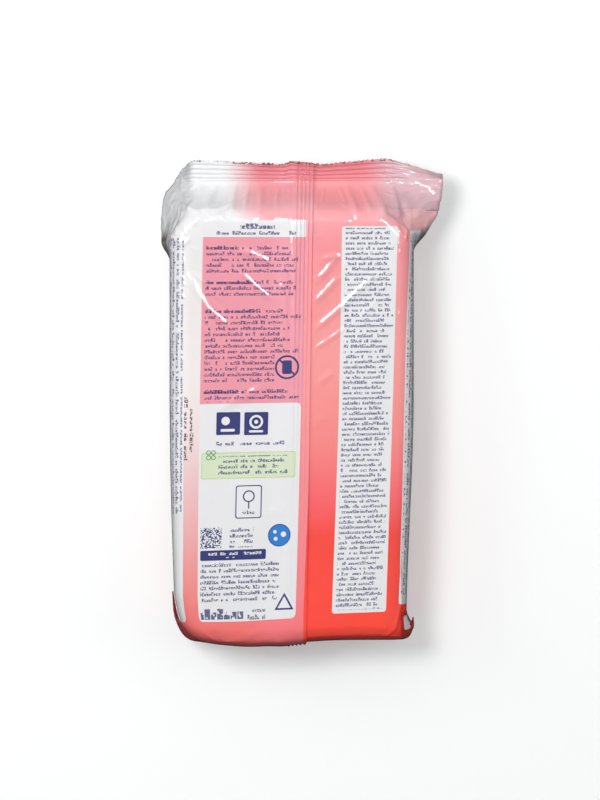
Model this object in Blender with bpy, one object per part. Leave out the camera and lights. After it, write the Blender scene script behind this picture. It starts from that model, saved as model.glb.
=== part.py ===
"""Flow-wrapped pack of wet wipes, lying on its front face with the back seam up.

Units are metres. X runs across the pack, Y along it towards the end whose crimped
seal stands out, and Z up. The origin is on the table, under the middle of the stack.
The wrapper is one web of film: it is folded round the stack, joined along the back by
a fin seam that is laid over to the right, and crimped shut at both ends.
"""

import math

import bmesh
import bpy
import numpy as np
from mathutils import Vector

# The wrapped stack
BODY_WIDTH = 0.110
BODY_LENGTH = 0.190
BODY_HEIGHT = 0.048
SHOULDER_RADIUS = 0.0100
FOOT_RADIUS = 0.0085
LEFT_SIDE_TAPER = 0.0020
RIGHT_SIDE_TAPER = 0.0030
SIDE_BULGE = 0.0007

# The crimped seal across each end
SEAL_WIDTH = 0.0095
SEAL_THICKNESS = 0.0008
SEAL_RIB_COUNT = 4
SEAL_RIB_HEIGHT = 0.00035
SEAL_RIB_FADE = 0.0080
CUT_TOOTH_DEPTH = 0.0008

# The top end, where the film closes down to a seal that stands straight out
TOP_SEAL_HEIGHT = 0.0265
TOP_SLOPE_RUN = 0.0156
EDGE_ROUNDING = 0.0045
EAR_RUN = 0.0200
RIGHT_EAR_LIFT = 0.0030
LEFT_EAR_SINK = 0.0020
RIGHT_EAR_REACH = 0.0140
RIGHT_CORNER_CUT = 0.0135
RIGHT_SEAL_CURL = 0.0060
RIGHT_PLEAT_DEPTH = 0.0012
RIGHT_PLEAT_FROM_ROOT = 0.0130
LEFT_EAR_REACH = 0.0045
LEFT_CORNER_CUT = 0.0085
LEFT_SEAL_BEND_INSET = 0.0093
LEFT_EAR_DROP = 0.0190
LEFT_SEAL_END_INSET = 0.0020
LEFT_SEAL_SETBACK = 0.0047
RIGHT_SEAL_SETBACK = 0.0066

# The bottom end, where the seal is folded down against the end of the stack
BOTTOM_SLOPE_RUN = 0.0030
BOTTOM_UNDERCUT = 0.0012
BOTTOM_LEFT_CORNER = 0.0100
BOTTOM_RIGHT_CORNER = 0.0025
BOTTOM_BULGE = 0.0032
BOTTOM_BULGE_CENTRE = -0.0185
BOTTOM_BULGE_WIDTH = 0.0240
FOLDED_SEAL_CLEARANCE = 0.0015
FOLDED_SEAL_INSET = 0.0020
LEFT_FLAP_LENGTH = 0.0180
RIGHT_FLAP_LENGTH = 0.0062
RIGHT_FLAP_FLARE = 0.0022
FLAP_CLEARANCE = 0.0005

# The fin seam along the back: its hinge is on the left and its free edge on the right
SEAM_WIDTH = 0.0082
SEAM_THICKNESS = 0.0006
SEAM_GAP = 0.0003
SEAM_RAMP = 0.0025
SEAM_RIB_COUNT = 4
SEAM_RIB_HEIGHT = 0.00012
SEAM_HINGE_AT_TOP = 0.0022
SEAM_HINGE_AT_BOTTOM = -0.0020

# The peelable closure stuck on the front face, which is the face underneath
CLOSURE_WIDTH = 0.062
CLOSURE_LENGTH = 0.112
CLOSURE_THICKNESS = 0.0004
CLOSURE_CORNER_RADIUS = 0.012
CLOSURE_TAB_RADIUS = 0.010
CLOSURE_TAB_REACH = 0.007
CLOSURE_GAP = 0.0003

# How finely the film is divided
LEFT_FILM_COLUMNS = 36
SEAM_COLUMNS = 2 * SEAM_RIB_COUNT
RIGHT_FILM_COLUMNS = 36
FRONT_COLUMNS = 44
ARC_STEPS = 8

# Ridges that the tight film draws across the upper half of the back. Each runs from
# one point to another, as shares of the half width and the half length, and stands up
# by a height in metres over a half width in metres.
RIDGE_HALF_WIDTH = 0.0022
RIDGE_HEIGHT = 0.0007
RIDGES = (
    (-0.84, 0.70, -0.50, 0.36),
    (-0.58, 0.70, -0.20, 0.42),
    (-0.82, 0.68, -0.66, 0.44),
    (-0.36, 0.88, -0.08, 0.70),
    (0.26, 0.74, 0.42, 0.94),
    (0.22, 0.50, 0.66, 0.80),
    (0.22, 0.36, 0.78, 0.70),
    (0.26, 0.24, 0.86, 0.56),
    (-0.30, 0.66, -0.12, 0.48),
)

# Gathers in the film where it closes down to the top seal: each has a place across the
# pack, a lean over the length of the slope, a half width and a height, in metres.
GATHERS = (
    (-0.0340, 0.0060, 0.0016, 0.0012),
    (-0.0250, 0.0030, 0.0013, 0.0009),
    (-0.0130, 0.0020, 0.0015, 0.0010),
    (0.0160, -0.0020, 0.0015, 0.0009),
    (0.0250, -0.0050, 0.0016, 0.0012),
    (0.0360, -0.0070, 0.0018, 0.0013),
    (0.0450, -0.0060, 0.0016, 0.0011),
)

UNDERSIDE = CLOSURE_THICKNESS + CLOSURE_GAP
BACK_FACE = UNDERSIDE + BODY_HEIGHT
MIDDLE = UNDERSIDE + BODY_HEIGHT / 2
HALF_WIDTH = BODY_WIDTH / 2
HALF_LENGTH = BODY_LENGTH / 2


def clear_scene():
    for obj in list(bpy.data.objects):
        bpy.data.objects.remove(obj)


def material(name, colour, roughness):
    """A plastic film of one colour."""
    made = bpy.data.materials.new(name)
    made.use_nodes = True
    shader = made.node_tree.nodes["Principled BSDF"]
    shader.inputs["Base Color"].default_value = (*colour, 1.0)
    shader.inputs["Roughness"].default_value = roughness
    shader.inputs["Metallic"].default_value = 0.0
    return made


class Station:
    """One cross-section of the film: four corners of the back ply and four of the front ply.

    Each ply runs from its left fold over the left and right shoulders to its right fold.
    """

    def __init__(self, back, front, back_radius, front_radius):
        self.back = np.array(back)
        self.front = np.array(front)
        self.radii = np.array([back_radius, front_radius])

    def numbers(self):
        return np.concatenate([self.back.ravel(), self.front.ravel(), self.radii])


def body_station(y, left_half, right_half):
    """A rounded box section round the stack."""
    back_fold = MIDDLE + SEAL_THICKNESS / 2
    front_fold = MIDDLE - SEAL_THICKNESS / 2
    left_fold = -left_half - SIDE_BULGE
    right_fold = right_half + SIDE_BULGE
    return Station(
        [(left_fold, y, back_fold), (-left_half, y, BACK_FACE),
         (right_half, y, BACK_FACE), (right_fold, y, back_fold)],
        [(left_fold, y, front_fold), (-left_half, y, UNDERSIDE),
         (right_half, y, UNDERSIDE), (right_fold, y, front_fold)],
        SHOULDER_RADIUS,
        FOOT_RADIUS,
    )


def ear_foot_station():
    """Where the ears end and the plain box section begins."""
    plain = body_station(HALF_LENGTH - EAR_RUN, HALF_WIDTH, HALF_WIDTH)
    for ply in (plain.back, plain.front):
        ply[0, 1] -= LEFT_EAR_SINK / 2
        ply[3, 1] += RIGHT_EAR_LIFT
    return plain


def top_ear_station():
    """Just short of the stack's top end, where the ears have begun to stand out."""
    y = HALF_LENGTH - EAR_RUN / 2
    left_y = y - LEFT_EAR_SINK
    right_y = y + RIGHT_EAR_LIFT / 2
    half_seal = SEAL_THICKNESS / 2
    left_fold = -HALF_WIDTH - LEFT_EAR_REACH
    right_fold = HALF_WIDTH + RIGHT_EAR_REACH * 0.46
    left_middle = MIDDLE - LEFT_EAR_DROP * 0.15
    back_right = HALF_WIDTH - RIGHT_CORNER_CUT * 0.20
    back_left = -HALF_WIDTH + LEFT_CORNER_CUT * 0.20
    return Station(
        [(left_fold, left_y, left_middle + half_seal), (back_left, y, BACK_FACE),
         (back_right, y, BACK_FACE), (right_fold, right_y, MIDDLE + half_seal)],
        [(left_fold, left_y, left_middle - half_seal), (-HALF_WIDTH, y, UNDERSIDE),
         (HALF_WIDTH, y, UNDERSIDE), (right_fold, right_y, MIDDLE - half_seal)],
        SHOULDER_RADIUS * 0.75,
        FOOT_RADIUS,
    )


def top_edge_station():
    """At the stack's top end, where the back face turns down towards the seal."""
    y = HALF_LENGTH
    half_seal = SEAL_THICKNESS / 2
    left_fold = -HALF_WIDTH - LEFT_EAR_REACH
    right_fold = HALF_WIDTH + RIGHT_EAR_REACH * 0.82
    left_middle = MIDDLE - LEFT_EAR_DROP * 0.45
    back_right = HALF_WIDTH - RIGHT_CORNER_CUT
    back_left = -HALF_WIDTH + LEFT_CORNER_CUT
    back = BACK_FACE - EDGE_ROUNDING * 0.35
    front = UNDERSIDE + EDGE_ROUNDING * 0.35
    return Station(
        [(left_fold, y, left_middle + half_seal), (back_left, y, back),
         (back_right, y, back), (right_fold, y, MIDDLE + half_seal)],
        [(left_fold, y, left_middle - half_seal), (-HALF_WIDTH + LEFT_CORNER_CUT, y, front),
         (back_right, y, front), (right_fold, y, MIDDLE - half_seal)],
        SHOULDER_RADIUS * 0.45,
        FOOT_RADIUS * 0.45,
    )


def top_seal_station(reach):
    """Across the top seal, from its root at reach 0 to its cut edge at reach 1.

    Its left end is bent down over the stack's corner, and its right end curls over.
    """
    root = HALF_LENGTH + TOP_SLOPE_RUN
    y = root + reach * SEAL_WIDTH
    left_y = root + reach * (SEAL_WIDTH - LEFT_SEAL_SETBACK)
    right_y = root + reach * (SEAL_WIDTH - RIGHT_SEAL_SETBACK)
    half_seal = SEAL_THICKNESS / 2
    bend = -HALF_WIDTH + LEFT_SEAL_BEND_INSET
    left_fold = -HALF_WIDTH + LEFT_SEAL_END_INSET * (1 + reach)
    left_low = TOP_SEAL_HEIGHT - LEFT_EAR_DROP
    curl_start = HALF_WIDTH - RIGHT_CORNER_CUT
    right_fold = HALF_WIDTH + RIGHT_EAR_REACH
    right_low = TOP_SEAL_HEIGHT - reach * RIGHT_SEAL_CURL
    high = TOP_SEAL_HEIGHT + half_seal
    low = TOP_SEAL_HEIGHT - half_seal
    return Station(
        [(left_fold - half_seal, left_y, left_low), (bend, y, high),
         (curl_start, y, high), (right_fold, right_y, right_low + half_seal)],
        [(left_fold + half_seal, left_y, left_low), (bend + half_seal, y, low),
         (curl_start, y, low), (right_fold, right_y, right_low - half_seal)],
        SHOULDER_RADIUS * 0.35,
        SHOULDER_RADIUS * 0.35,
    )


def bottom_end_station(run, drop, corner):
    """Over the stack's bottom end: run is how far past its edge, drop how far down the end
    face, and corner how much of the corner rounding has been reached, each from 0 to 1."""
    y = -HALF_LENGTH - run * BOTTOM_SLOPE_RUN
    under_y = y + max(run, 0.0) * BOTTOM_UNDERCUT
    high = BACK_FACE - drop * (BACK_FACE - MIDDLE - SEAL_THICKNESS)
    low = UNDERSIDE + drop * (MIDDLE - SEAL_THICKNESS - UNDERSIDE)
    half_seal = SEAL_THICKNESS / 2
    left = -HALF_WIDTH + LEFT_SIDE_TAPER + corner * BOTTOM_LEFT_CORNER
    right = HALF_WIDTH - RIGHT_SIDE_TAPER - corner * BOTTOM_RIGHT_CORNER
    soft = 1 - drop
    return Station(
        [(left - SIDE_BULGE, y, MIDDLE + half_seal), (left, y, high),
         (right, y, high), (right + SIDE_BULGE, y, MIDDLE + half_seal)],
        [(left - SIDE_BULGE, under_y, MIDDLE - half_seal), (left, under_y, low),
         (right, under_y, low), (right + SIDE_BULGE, under_y, MIDDLE - half_seal)],
        0.001 + SHOULDER_RADIUS * soft,
        0.001 + FOOT_RADIUS * soft,
    )


def folded_seal_station(reach):
    """Across the bottom seal, which hangs down in front of the end face from reach 0 to 1.

    Its ends are longer than the end face, and lie back along the sides as flaps.
    """
    outer = -HALF_LENGTH - BOTTOM_SLOPE_RUN * 0.7 - FOLDED_SEAL_CLEARANCE
    inner = outer + SEAL_THICKNESS
    z = MIDDLE - SEAL_THICKNESS - reach * SEAL_WIDTH
    left = -HALF_WIDTH + LEFT_SIDE_TAPER - SIDE_BULGE - FLAP_CLEARANCE
    corner = left + FOLDED_SEAL_INSET
    right = HALF_WIDTH - RIGHT_SIDE_TAPER + SIDE_BULGE + FLAP_CLEARANCE
    flared = right + RIGHT_FLAP_FLARE
    opened = min(1.0, 0.35 + reach)
    left_tip = -HALF_LENGTH + LEFT_FLAP_LENGTH * opened
    right_tip = -HALF_LENGTH + RIGHT_FLAP_LENGTH * opened
    return Station(
        [(left - SEAL_THICKNESS, left_tip, z), (corner - SEAL_THICKNESS, outer, z),
         (right + SEAL_THICKNESS, outer, z), (flared + SEAL_THICKNESS, right_tip, z)],
        [(left, left_tip, z), (corner, inner, z), (right, inner, z), (flared, right_tip, z)],
        BOTTOM_LEFT_CORNER + SEAL_THICKNESS,
        BOTTOM_LEFT_CORNER,
    )


def film_stations():
    """The cross-sections from the cut edge at the top to the cut edge at the bottom, with
    the number of rows of film from each to the next."""
    left_end = HALF_WIDTH - LEFT_SIDE_TAPER
    right_end = HALF_WIDTH - RIGHT_SIDE_TAPER
    return [
        (top_seal_station(1.0), 2 * SEAL_RIB_COUNT),
        (top_seal_station(0.0), 6),
        (top_edge_station(), 1),
        (body_edge_station(), 3),
        (top_ear_station(), 5),
        (ear_foot_station(), 20),
        (body_station(HALF_LENGTH * 0.15, HALF_WIDTH, HALF_WIDTH), 8),
        (body_station(-HALF_LENGTH + EAR_RUN, left_end, right_end), 3),
        (bottom_end_station(-1.2, 0.0, 0.2), 3),
        (bottom_end_station(0.35, 0.1, 0.5), 2),
        (bottom_end_station(1.0, 0.45, 0.9), 2),
        (bottom_end_station(0.7, 1.0, 1.0), 1),
        (folded_seal_station(0.05), 8),
        (folded_seal_station(1.0), 0),
    ]


def body_edge_station():
    """A little short of the top edge, where the back face is still flat."""
    edge = top_edge_station()
    ear = top_ear_station()
    share = EDGE_ROUNDING / (EAR_RUN / 2)
    back = edge.back + (ear.back - edge.back) * share
    front = edge.front + (ear.front - edge.front) * share
    back[1:3, 2] = BACK_FACE
    front[1:3, 2] = UNDERSIDE
    return Station(back, front, SHOULDER_RADIUS * 0.6, FOOT_RADIUS * 0.6)


def smooth_through(knots, values, places):
    """Reads a monotone cubic curve through values, one row for each knot, at places."""
    step = np.diff(knots)[:, None]
    slope = np.diff(values, axis=0) / step
    tangent = np.zeros_like(values)
    same_way = slope[:-1] * slope[1:] > 0
    total = slope[:-1] + slope[1:]
    safe = np.where(same_way, total, 1.0)
    tangent[1:-1] = np.where(same_way, 2 * slope[:-1] * slope[1:] / safe, 0.0)
    tangent[0] = slope[0]
    tangent[-1] = slope[-1]
    index = np.clip(np.searchsorted(knots, places, side="right") - 1, 0, len(knots) - 2)
    width = step[index]
    t = (places[:, None] - knots[index][:, None]) / width
    return (
        (2 * t**3 - 3 * t**2 + 1) * values[index]
        + (t**3 - 2 * t**2 + t) * width * tangent[index]
        + (-2 * t**3 + 3 * t**2) * values[index + 1]
        + (t**3 - t**2) * width * tangent[index + 1]
    )


def film_rows():
    """The eight corners and two radii of every row, and which part of the film it is in."""
    stations = film_stations()
    centres = [station.back[1:3].mean(axis=0) for station, _ in stations]
    lengths = [np.linalg.norm(b - a) for a, b in zip(centres, centres[1:])]
    knots = np.concatenate([[0.0], np.cumsum(lengths)])
    places = [
        knots[k] + (knots[k + 1] - knots[k]) * step / count
        for k, (_, count) in enumerate(stations[:-1])
        for step in range(count)
    ]
    places = np.array([*places, knots[-1]])
    values = np.array([station.numbers() for station, _ in stations])
    rows = smooth_through(knots, values, places)
    return rows, places, knots


def rounded(corners, radius):
    """The path through four corners, its two middle corners turned into curves."""
    first, left, right, last = (Vector(c) for c in corners)
    path = [first]
    for before, corner, after in ((first, left, right), (left, right, last)):
        to_before = before - corner
        to_after = after - corner
        cut = min(radius, to_before.length * 0.48, to_after.length * 0.48)
        start = corner + to_before.normalized() * cut
        end = corner + to_after.normalized() * cut
        for k in range(ARC_STEPS + 1):
            t = k / ARC_STEPS
            path.append(start * (1 - t) ** 2 + corner * (2 * t * (1 - t)) + end * t**2)
    path.append(last)
    return np.array([tuple(p) for p in path])


def along(path, distances):
    """The points at these distances along a path."""
    steps = np.linalg.norm(np.diff(path, axis=0), axis=1)
    reached = np.concatenate([[0.0], np.cumsum(steps)])
    return np.stack([np.interp(distances, reached, path[:, k]) for k in range(3)], axis=1)


def path_lengths(path):
    """The whole length of a path, and the length to where it crosses the middle plane."""
    steps = np.linalg.norm(np.diff(path, axis=0), axis=1)
    reached = np.concatenate([[0.0], np.cumsum(steps)])
    inner = slice(ARC_STEPS, len(path) - ARC_STEPS)
    return reached[-1], np.interp(0.0, path[inner, 0], reached[inner])


def seam_layers(hinge):
    """Distances across the back from the middle plane, and heights over the film, of the
    fin's top, its free edge and its underside, back to the hinge."""
    columns = np.linspace(hinge, hinge + SEAM_WIDTH, SEAM_COLUMNS + 1)
    ribs = SEAM_RIB_HEIGHT * np.where(np.arange(SEAM_COLUMNS + 1) % 2, 1.0, -1.0)
    top = SEAM_GAP + SEAM_THICKNESS + ribs
    under = np.linspace(hinge + SEAM_WIDTH, hinge + 2 * SEAM_THICKNESS, 4)
    return (
        np.concatenate([columns, under]),
        np.concatenate([top, np.full(len(under), SEAM_GAP)]),
    )


def film_ring(row, hinge):
    """One row's points, right round the film, with each point's lift off the film.

    The points run over the back from the left fold to the right one, through the fin
    seam, and return under the front.
    """
    back = rounded(row[0:12].reshape(4, 3), row[24])
    front = rounded(row[12:24].reshape(4, 3), row[25])
    whole, centre = path_lengths(back)
    seam, lift = seam_layers(hinge)
    left = np.linspace(0.0, centre + hinge - SEAM_RAMP, LEFT_FILM_COLUMNS)
    right = np.linspace(centre + hinge + 2 * SEAM_THICKNESS, whole, RIGHT_FILM_COLUMNS)
    places = np.concatenate([left, centre + seam, right])
    lifts = np.concatenate([np.zeros(len(left)), lift, np.zeros(len(right))])
    front_length = path_lengths(front)[0]
    front_places = np.linspace(front_length, 0.0, FRONT_COLUMNS)
    points = np.concatenate([along(back, places), along(front, front_places)])
    return points, np.concatenate([lifts, np.zeros(FRONT_COLUMNS)])


def outward_normals(grid):
    """A unit normal at each point of a grid of rows of closed rings."""
    across = np.roll(grid, -1, axis=1) - np.roll(grid, 1, axis=1)
    down = np.gradient(grid, axis=0)
    normal = np.cross(down, across)
    seam_end = grid.shape[1] - FRONT_COLUMNS - RIGHT_FILM_COLUMNS
    beside_seam = normal[:, LEFT_FILM_COLUMNS - 2] + normal[:, seam_end + 1]
    normal[:, LEFT_FILM_COLUMNS:seam_end] = beside_seam[:, None]
    length = np.linalg.norm(normal, axis=2, keepdims=True)
    return normal / np.maximum(length, 1e-12)


def seal_ribs(places, knots):
    """The height of the crimped ribs at each row: they alternate across both seals."""
    heights = np.zeros(len(places))
    tooth = np.arange(len(places))
    top = (places > knots[0]) & (places < knots[1] - 1e-9)
    bottom = (places > knots[-2] + 1e-9) & (places < knots[-1] - 1e-9)
    alternate = np.where(tooth % 2, 1.0, -1.0)
    heights[top] = SEAL_RIB_HEIGHT * alternate[top]
    heights[bottom] = SEAL_RIB_HEIGHT * alternate[bottom]
    return heights


def ridge_relief(x, y):
    """How far the ridges of tight film stand up from the back face at each point."""
    relief = np.zeros_like(x)
    for x0, y0, x1, y1 in RIDGES:
        start = np.array([x0 * HALF_WIDTH, y0 * HALF_LENGTH])
        run = np.array([x1 * HALF_WIDTH, y1 * HALF_LENGTH]) - start
        length = np.hypot(*run)
        along_it = ((x - start[0]) * run[0] + (y - start[1]) * run[1]) / length**2
        across_it = ((x - start[0]) * run[1] - (y - start[1]) * run[0]) / length
        fade = np.clip(np.minimum(along_it, 1 - along_it) * 5, 0, 1)
        profile = np.exp(-((across_it / RIDGE_HALF_WIDTH) ** 2))
        relief = np.maximum(relief, RIDGE_HEIGHT * fade * profile)
    return relief


def gather_relief(x, y):
    """How far the gathers stand up on the slope between the top seal and the stack."""
    root = HALF_LENGTH + TOP_SLOPE_RUN
    share = np.clip((root - y) / (TOP_SLOPE_RUN + EDGE_ROUNDING), 0, 1)
    window = np.sin(np.pi * share)
    relief = np.zeros_like(x)
    for place, lean, half_width, height in GATHERS:
        across = (x - place + lean * share) / half_width
        relief = relief + height * window * np.exp(-(across**2))
    return relief


def film_grid():
    """Every point of the film, as rows of closed rings."""
    rows, places, knots = film_rows()
    share = (places - places[0]) / (places[-1] - places[0])
    hinges = SEAM_HINGE_AT_TOP + (SEAM_HINGE_AT_BOTTOM - SEAM_HINGE_AT_TOP) * share
    rings = [film_ring(row, hinge) for row, hinge in zip(rows, hinges)]
    grid = np.array([points for points, _ in rings])
    lifts = np.array([lift for _, lift in rings])
    back_columns = grid.shape[1] - FRONT_COLUMNS

    near_bottom = np.clip((-HALF_LENGTH * 0.9 - grid[..., 1]) / (HALF_LENGTH * 0.1), 0, 1)
    bulge = np.exp(-(((grid[..., 0] - BOTTOM_BULGE_CENTRE) / BOTTOM_BULGE_WIDTH) ** 2))
    grid[..., 1] -= BOTTOM_BULGE * near_bottom * bulge

    right_half = np.clip((grid[..., 0] - HALF_WIDTH + RIGHT_CORNER_CUT) / EDGE_ROUNDING, 0, 1)
    past_pleat = HALF_LENGTH + TOP_SLOPE_RUN - RIGHT_PLEAT_FROM_ROOT - grid[..., 1]
    step = np.clip(past_pleat / SEAL_THICKNESS, 0, 1) * np.clip(1 - past_pleat / EAR_RUN * 1.5, 0, 1)
    grid[..., 2] -= RIGHT_PLEAT_DEPTH * right_half * step

    normals = outward_normals(grid)
    side = np.ones(grid.shape[1])
    side[back_columns:] = -1.0
    to_end = (HALF_WIDTH - np.abs(grid[..., 0])) / SEAL_RIB_FADE
    lifts = lifts + seal_ribs(places, knots)[:, None] * side[None, :] * np.clip(to_end, 0, 1)
    on_back = (normals[..., 2] > 0.8) & (grid[..., 2] > BACK_FACE - EDGE_ROUNDING)
    on_back[:, back_columns:] = False
    lifts += np.where(on_back, ridge_relief(grid[..., 0], grid[..., 1]), 0.0)
    lifts[:, :back_columns] += gather_relief(grid[..., 0], grid[..., 1])[:, :back_columns]
    return grid + normals * lifts[..., None]


def fill_between(mesh, upper, lower):
    """Faces between two rows of points that run the same way, always by the shorter tie."""
    i = 0
    j = 0
    while i < len(upper) - 1 or j < len(lower) - 1:
        on_upper = j == len(lower) - 1
        if i < len(upper) - 1 and j < len(lower) - 1:
            tie_up = (upper[i + 1].co - lower[j].co).length
            tie_down = (upper[i].co - lower[j + 1].co).length
            on_upper = tie_up < tie_down
        if on_upper:
            mesh.faces.new((upper[i], upper[i + 1], lower[j]))
            i += 1
        else:
            mesh.faces.new((upper[i], lower[j + 1], lower[j]))
            j += 1


def close_cut_edge(mesh, ring):
    """Closes the film at a cut edge: the fin seam first, then between back and front plies."""
    back_count = len(ring) - FRONT_COLUMNS
    seam_end = back_count - RIGHT_FILM_COLUMNS
    left = ring[:LEFT_FILM_COLUMNS]
    seam_top = ring[LEFT_FILM_COLUMNS:LEFT_FILM_COLUMNS + SEAM_COLUMNS + 1]
    seam_under = ring[LEFT_FILM_COLUMNS + SEAM_COLUMNS + 1:seam_end]
    right = ring[seam_end:back_count]
    front = ring[back_count:]
    fill_between(mesh, seam_top, seam_under[::-1])
    mesh.faces.new((left[-1], seam_top[0], seam_under[-1]))
    mesh.faces.new((left[-1], seam_under[-1], right[0]))
    fill_between(mesh, left + right, front[::-1])


def saw_teeth(mesh, ring, inwards):
    """Gives a cut edge of the film its saw teeth: a point halfway along each step goes in."""
    for here, following in zip(ring, ring[1:] + ring[:1]):
        if (here.co - following.co).length > 2 * SEAL_THICKNESS:
            edge = mesh.edges.get((here, following))
            _, point = bmesh.utils.edge_split(edge, here, 0.5)
            point.co += inwards * CUT_TOOTH_DEPTH


def film_object(name, finish):
    """The pack: the film, filled with its stack, as one closed solid."""
    grid = film_grid()
    mesh = bmesh.new()
    rings = [[mesh.verts.new(point) for point in ring] for ring in grid]
    count = len(rings[0])
    for above, below in zip(rings, rings[1:]):
        for k in range(count):
            following = (k + 1) % count
            mesh.faces.new((above[k], below[k], below[following], above[following]))
    close_cut_edge(mesh, rings[0])
    close_cut_edge(mesh, rings[-1])
    saw_teeth(mesh, rings[0], Vector((0, -1, 0)))
    saw_teeth(mesh, rings[-1], Vector((0, 0, 1)))
    bmesh.ops.triangulate(mesh, faces=mesh.faces, quad_method="SHORT_EDGE")
    bmesh.ops.recalc_face_normals(mesh, faces=mesh.faces)
    data = bpy.data.meshes.new(name)
    mesh.to_mesh(data)
    mesh.free()
    data.shade_smooth()
    data.set_sharp_from_angle(angle=math.radians(50))
    data.materials.append(finish)
    obj = bpy.data.objects.new(name, data)
    bpy.context.scene.collection.objects.link(obj)
    return obj


def arc(centre_x, centre_y, radius, start, end, steps):
    """Points round part of a circle, its angles in degrees."""
    return [
        (
            centre_x + radius * math.cos(math.radians(start + (end - start) * k / steps)),
            centre_y + radius * math.sin(math.radians(start + (end - start) * k / steps)),
        )
        for k in range(steps + 1)
    ]


def closure_outline():
    """The outline of the peelable closure: a rounded rectangle with a round pull tab."""
    x = CLOSURE_WIDTH / 2 - CLOSURE_CORNER_RADIUS
    y = CLOSURE_LENGTH / 2 - CLOSURE_CORNER_RADIUS
    tab_y = -CLOSURE_LENGTH / 2 - CLOSURE_TAB_REACH + CLOSURE_TAB_RADIUS
    sweep = math.degrees(math.acos((CLOSURE_TAB_RADIUS - CLOSURE_TAB_REACH) / CLOSURE_TAB_RADIUS))
    return [
        *arc(x, y, CLOSURE_CORNER_RADIUS, 0, 90, ARC_STEPS),
        *arc(-x, y, CLOSURE_CORNER_RADIUS, 90, 180, ARC_STEPS),
        *arc(-x, -y, CLOSURE_CORNER_RADIUS, 180, 270, ARC_STEPS),
        *arc(0.0, tab_y, CLOSURE_TAB_RADIUS, 270 - sweep, 270 + sweep, 2 * ARC_STEPS),
        *arc(x, -y, CLOSURE_CORNER_RADIUS, 270, 360, ARC_STEPS),
    ]


def closure_object(name, finish):
    """The peelable closure, a flat sheet under the pack's front face."""
    mesh = bmesh.new()
    outline = [mesh.verts.new((x, y, 0.0)) for x, y in closure_outline()]
    face = mesh.faces.new(outline)
    lifted = bmesh.ops.extrude_face_region(mesh, geom=[face])
    for item in lifted["geom"]:
        if isinstance(item, bmesh.types.BMVert):
            item.co.z += CLOSURE_THICKNESS
    bmesh.ops.recalc_face_normals(mesh, faces=mesh.faces)
    data = bpy.data.meshes.new(name)
    mesh.to_mesh(data)
    mesh.free()
    data.materials.append(finish)
    obj = bpy.data.objects.new(name, data)
    bpy.context.scene.collection.objects.link(obj)
    return obj


def main():
    clear_scene()
    film_object("film_pack", material("printed_film", (0.90, 0.33, 0.33), 0.25))
    closure_object("peel_closure", material("closure_film", (0.93, 0.80, 0.80), 0.30))


main()
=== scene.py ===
# %% [markdown]
# # A flow-wrapped pack of wet wipes
#
# The pack lies on its front, with its back seam up, and is seen from straight above.
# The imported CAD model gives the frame. The film is built again here from the same
# sections, much finer, so that it can carry ribs, pleats, drawn wrinkles and print.

# %% Load the fixed frame
import math

import bpy
import numpy as np
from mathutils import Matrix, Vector


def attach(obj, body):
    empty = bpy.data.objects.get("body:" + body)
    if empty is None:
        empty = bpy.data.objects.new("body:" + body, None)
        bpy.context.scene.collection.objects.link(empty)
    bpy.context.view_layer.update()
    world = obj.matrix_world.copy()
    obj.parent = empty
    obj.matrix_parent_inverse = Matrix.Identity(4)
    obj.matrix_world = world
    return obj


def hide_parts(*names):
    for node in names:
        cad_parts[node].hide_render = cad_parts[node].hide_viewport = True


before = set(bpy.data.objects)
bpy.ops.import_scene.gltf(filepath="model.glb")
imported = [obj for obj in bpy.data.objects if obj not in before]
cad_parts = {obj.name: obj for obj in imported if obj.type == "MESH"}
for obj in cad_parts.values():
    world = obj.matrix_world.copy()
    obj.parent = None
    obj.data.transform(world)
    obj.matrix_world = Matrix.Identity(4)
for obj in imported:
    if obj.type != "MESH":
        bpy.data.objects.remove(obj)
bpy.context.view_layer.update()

# %% [markdown]
# ## Measures
#
# These are the part's own measures, in metres, and then how finely the film is divided.
# A coarse grid would do for the outline, but the highlights run along creases about a
# millimetre wide, so the upper half of the back, where they are, gets the finest rows.

# %% The pack's measures
BODY_WIDTH = 0.110
BODY_LENGTH = 0.190
BODY_HEIGHT = 0.048
SHOULDER_RADIUS = 0.0100
FOOT_RADIUS = 0.0085
LEFT_SIDE_TAPER = 0.0020
RIGHT_SIDE_TAPER = 0.0030
SIDE_BULGE = 0.0007
SEAL_WIDTH = 0.0095
SEAL_THICKNESS = 0.0005
SEAL_RIB_FADE = 0.0080
TOP_SEAL_HEIGHT = 0.0265
TOP_SLOPE_RUN = 0.0156
EDGE_ROUNDING = 0.0045
EAR_RUN = 0.0200
RIGHT_EAR_LIFT = 0.0030
LEFT_EAR_SINK = 0.0020
RIGHT_EAR_REACH = 0.0140
RIGHT_CORNER_CUT = 0.0135
RIGHT_SEAL_CURL = 0.0060
LEFT_EAR_REACH = 0.0045
LEFT_CORNER_CUT = 0.0085
LEFT_SEAL_BEND_INSET = 0.0093
LEFT_EAR_DROP = 0.0190
LEFT_SEAL_END_INSET = 0.0020
LEFT_SEAL_SETBACK = 0.0047
RIGHT_SEAL_SETBACK = 0.0066
BOTTOM_SLOPE_RUN = 0.0030
BOTTOM_UNDERCUT = 0.0012
BOTTOM_LEFT_CORNER = 0.0100
BOTTOM_RIGHT_CORNER = 0.0025
BOTTOM_BULGE = 0.0032
BOTTOM_BULGE_CENTRE = -0.0185
BOTTOM_BULGE_WIDTH = 0.0240
FOLDED_SEAL_CLEARANCE = 0.0015
FOLDED_SEAL_INSET = 0.0020
LEFT_FLAP_LENGTH = 0.0180
RIGHT_FLAP_LENGTH = 0.0062
RIGHT_FLAP_FLARE = 0.0022
FLAP_CLEARANCE = 0.0005
SEAM_WIDTH = 0.0082
SEAM_THICKNESS = 0.0006
SEAM_GAP = 0.0003
SEAM_RAMP = 0.0025
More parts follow.
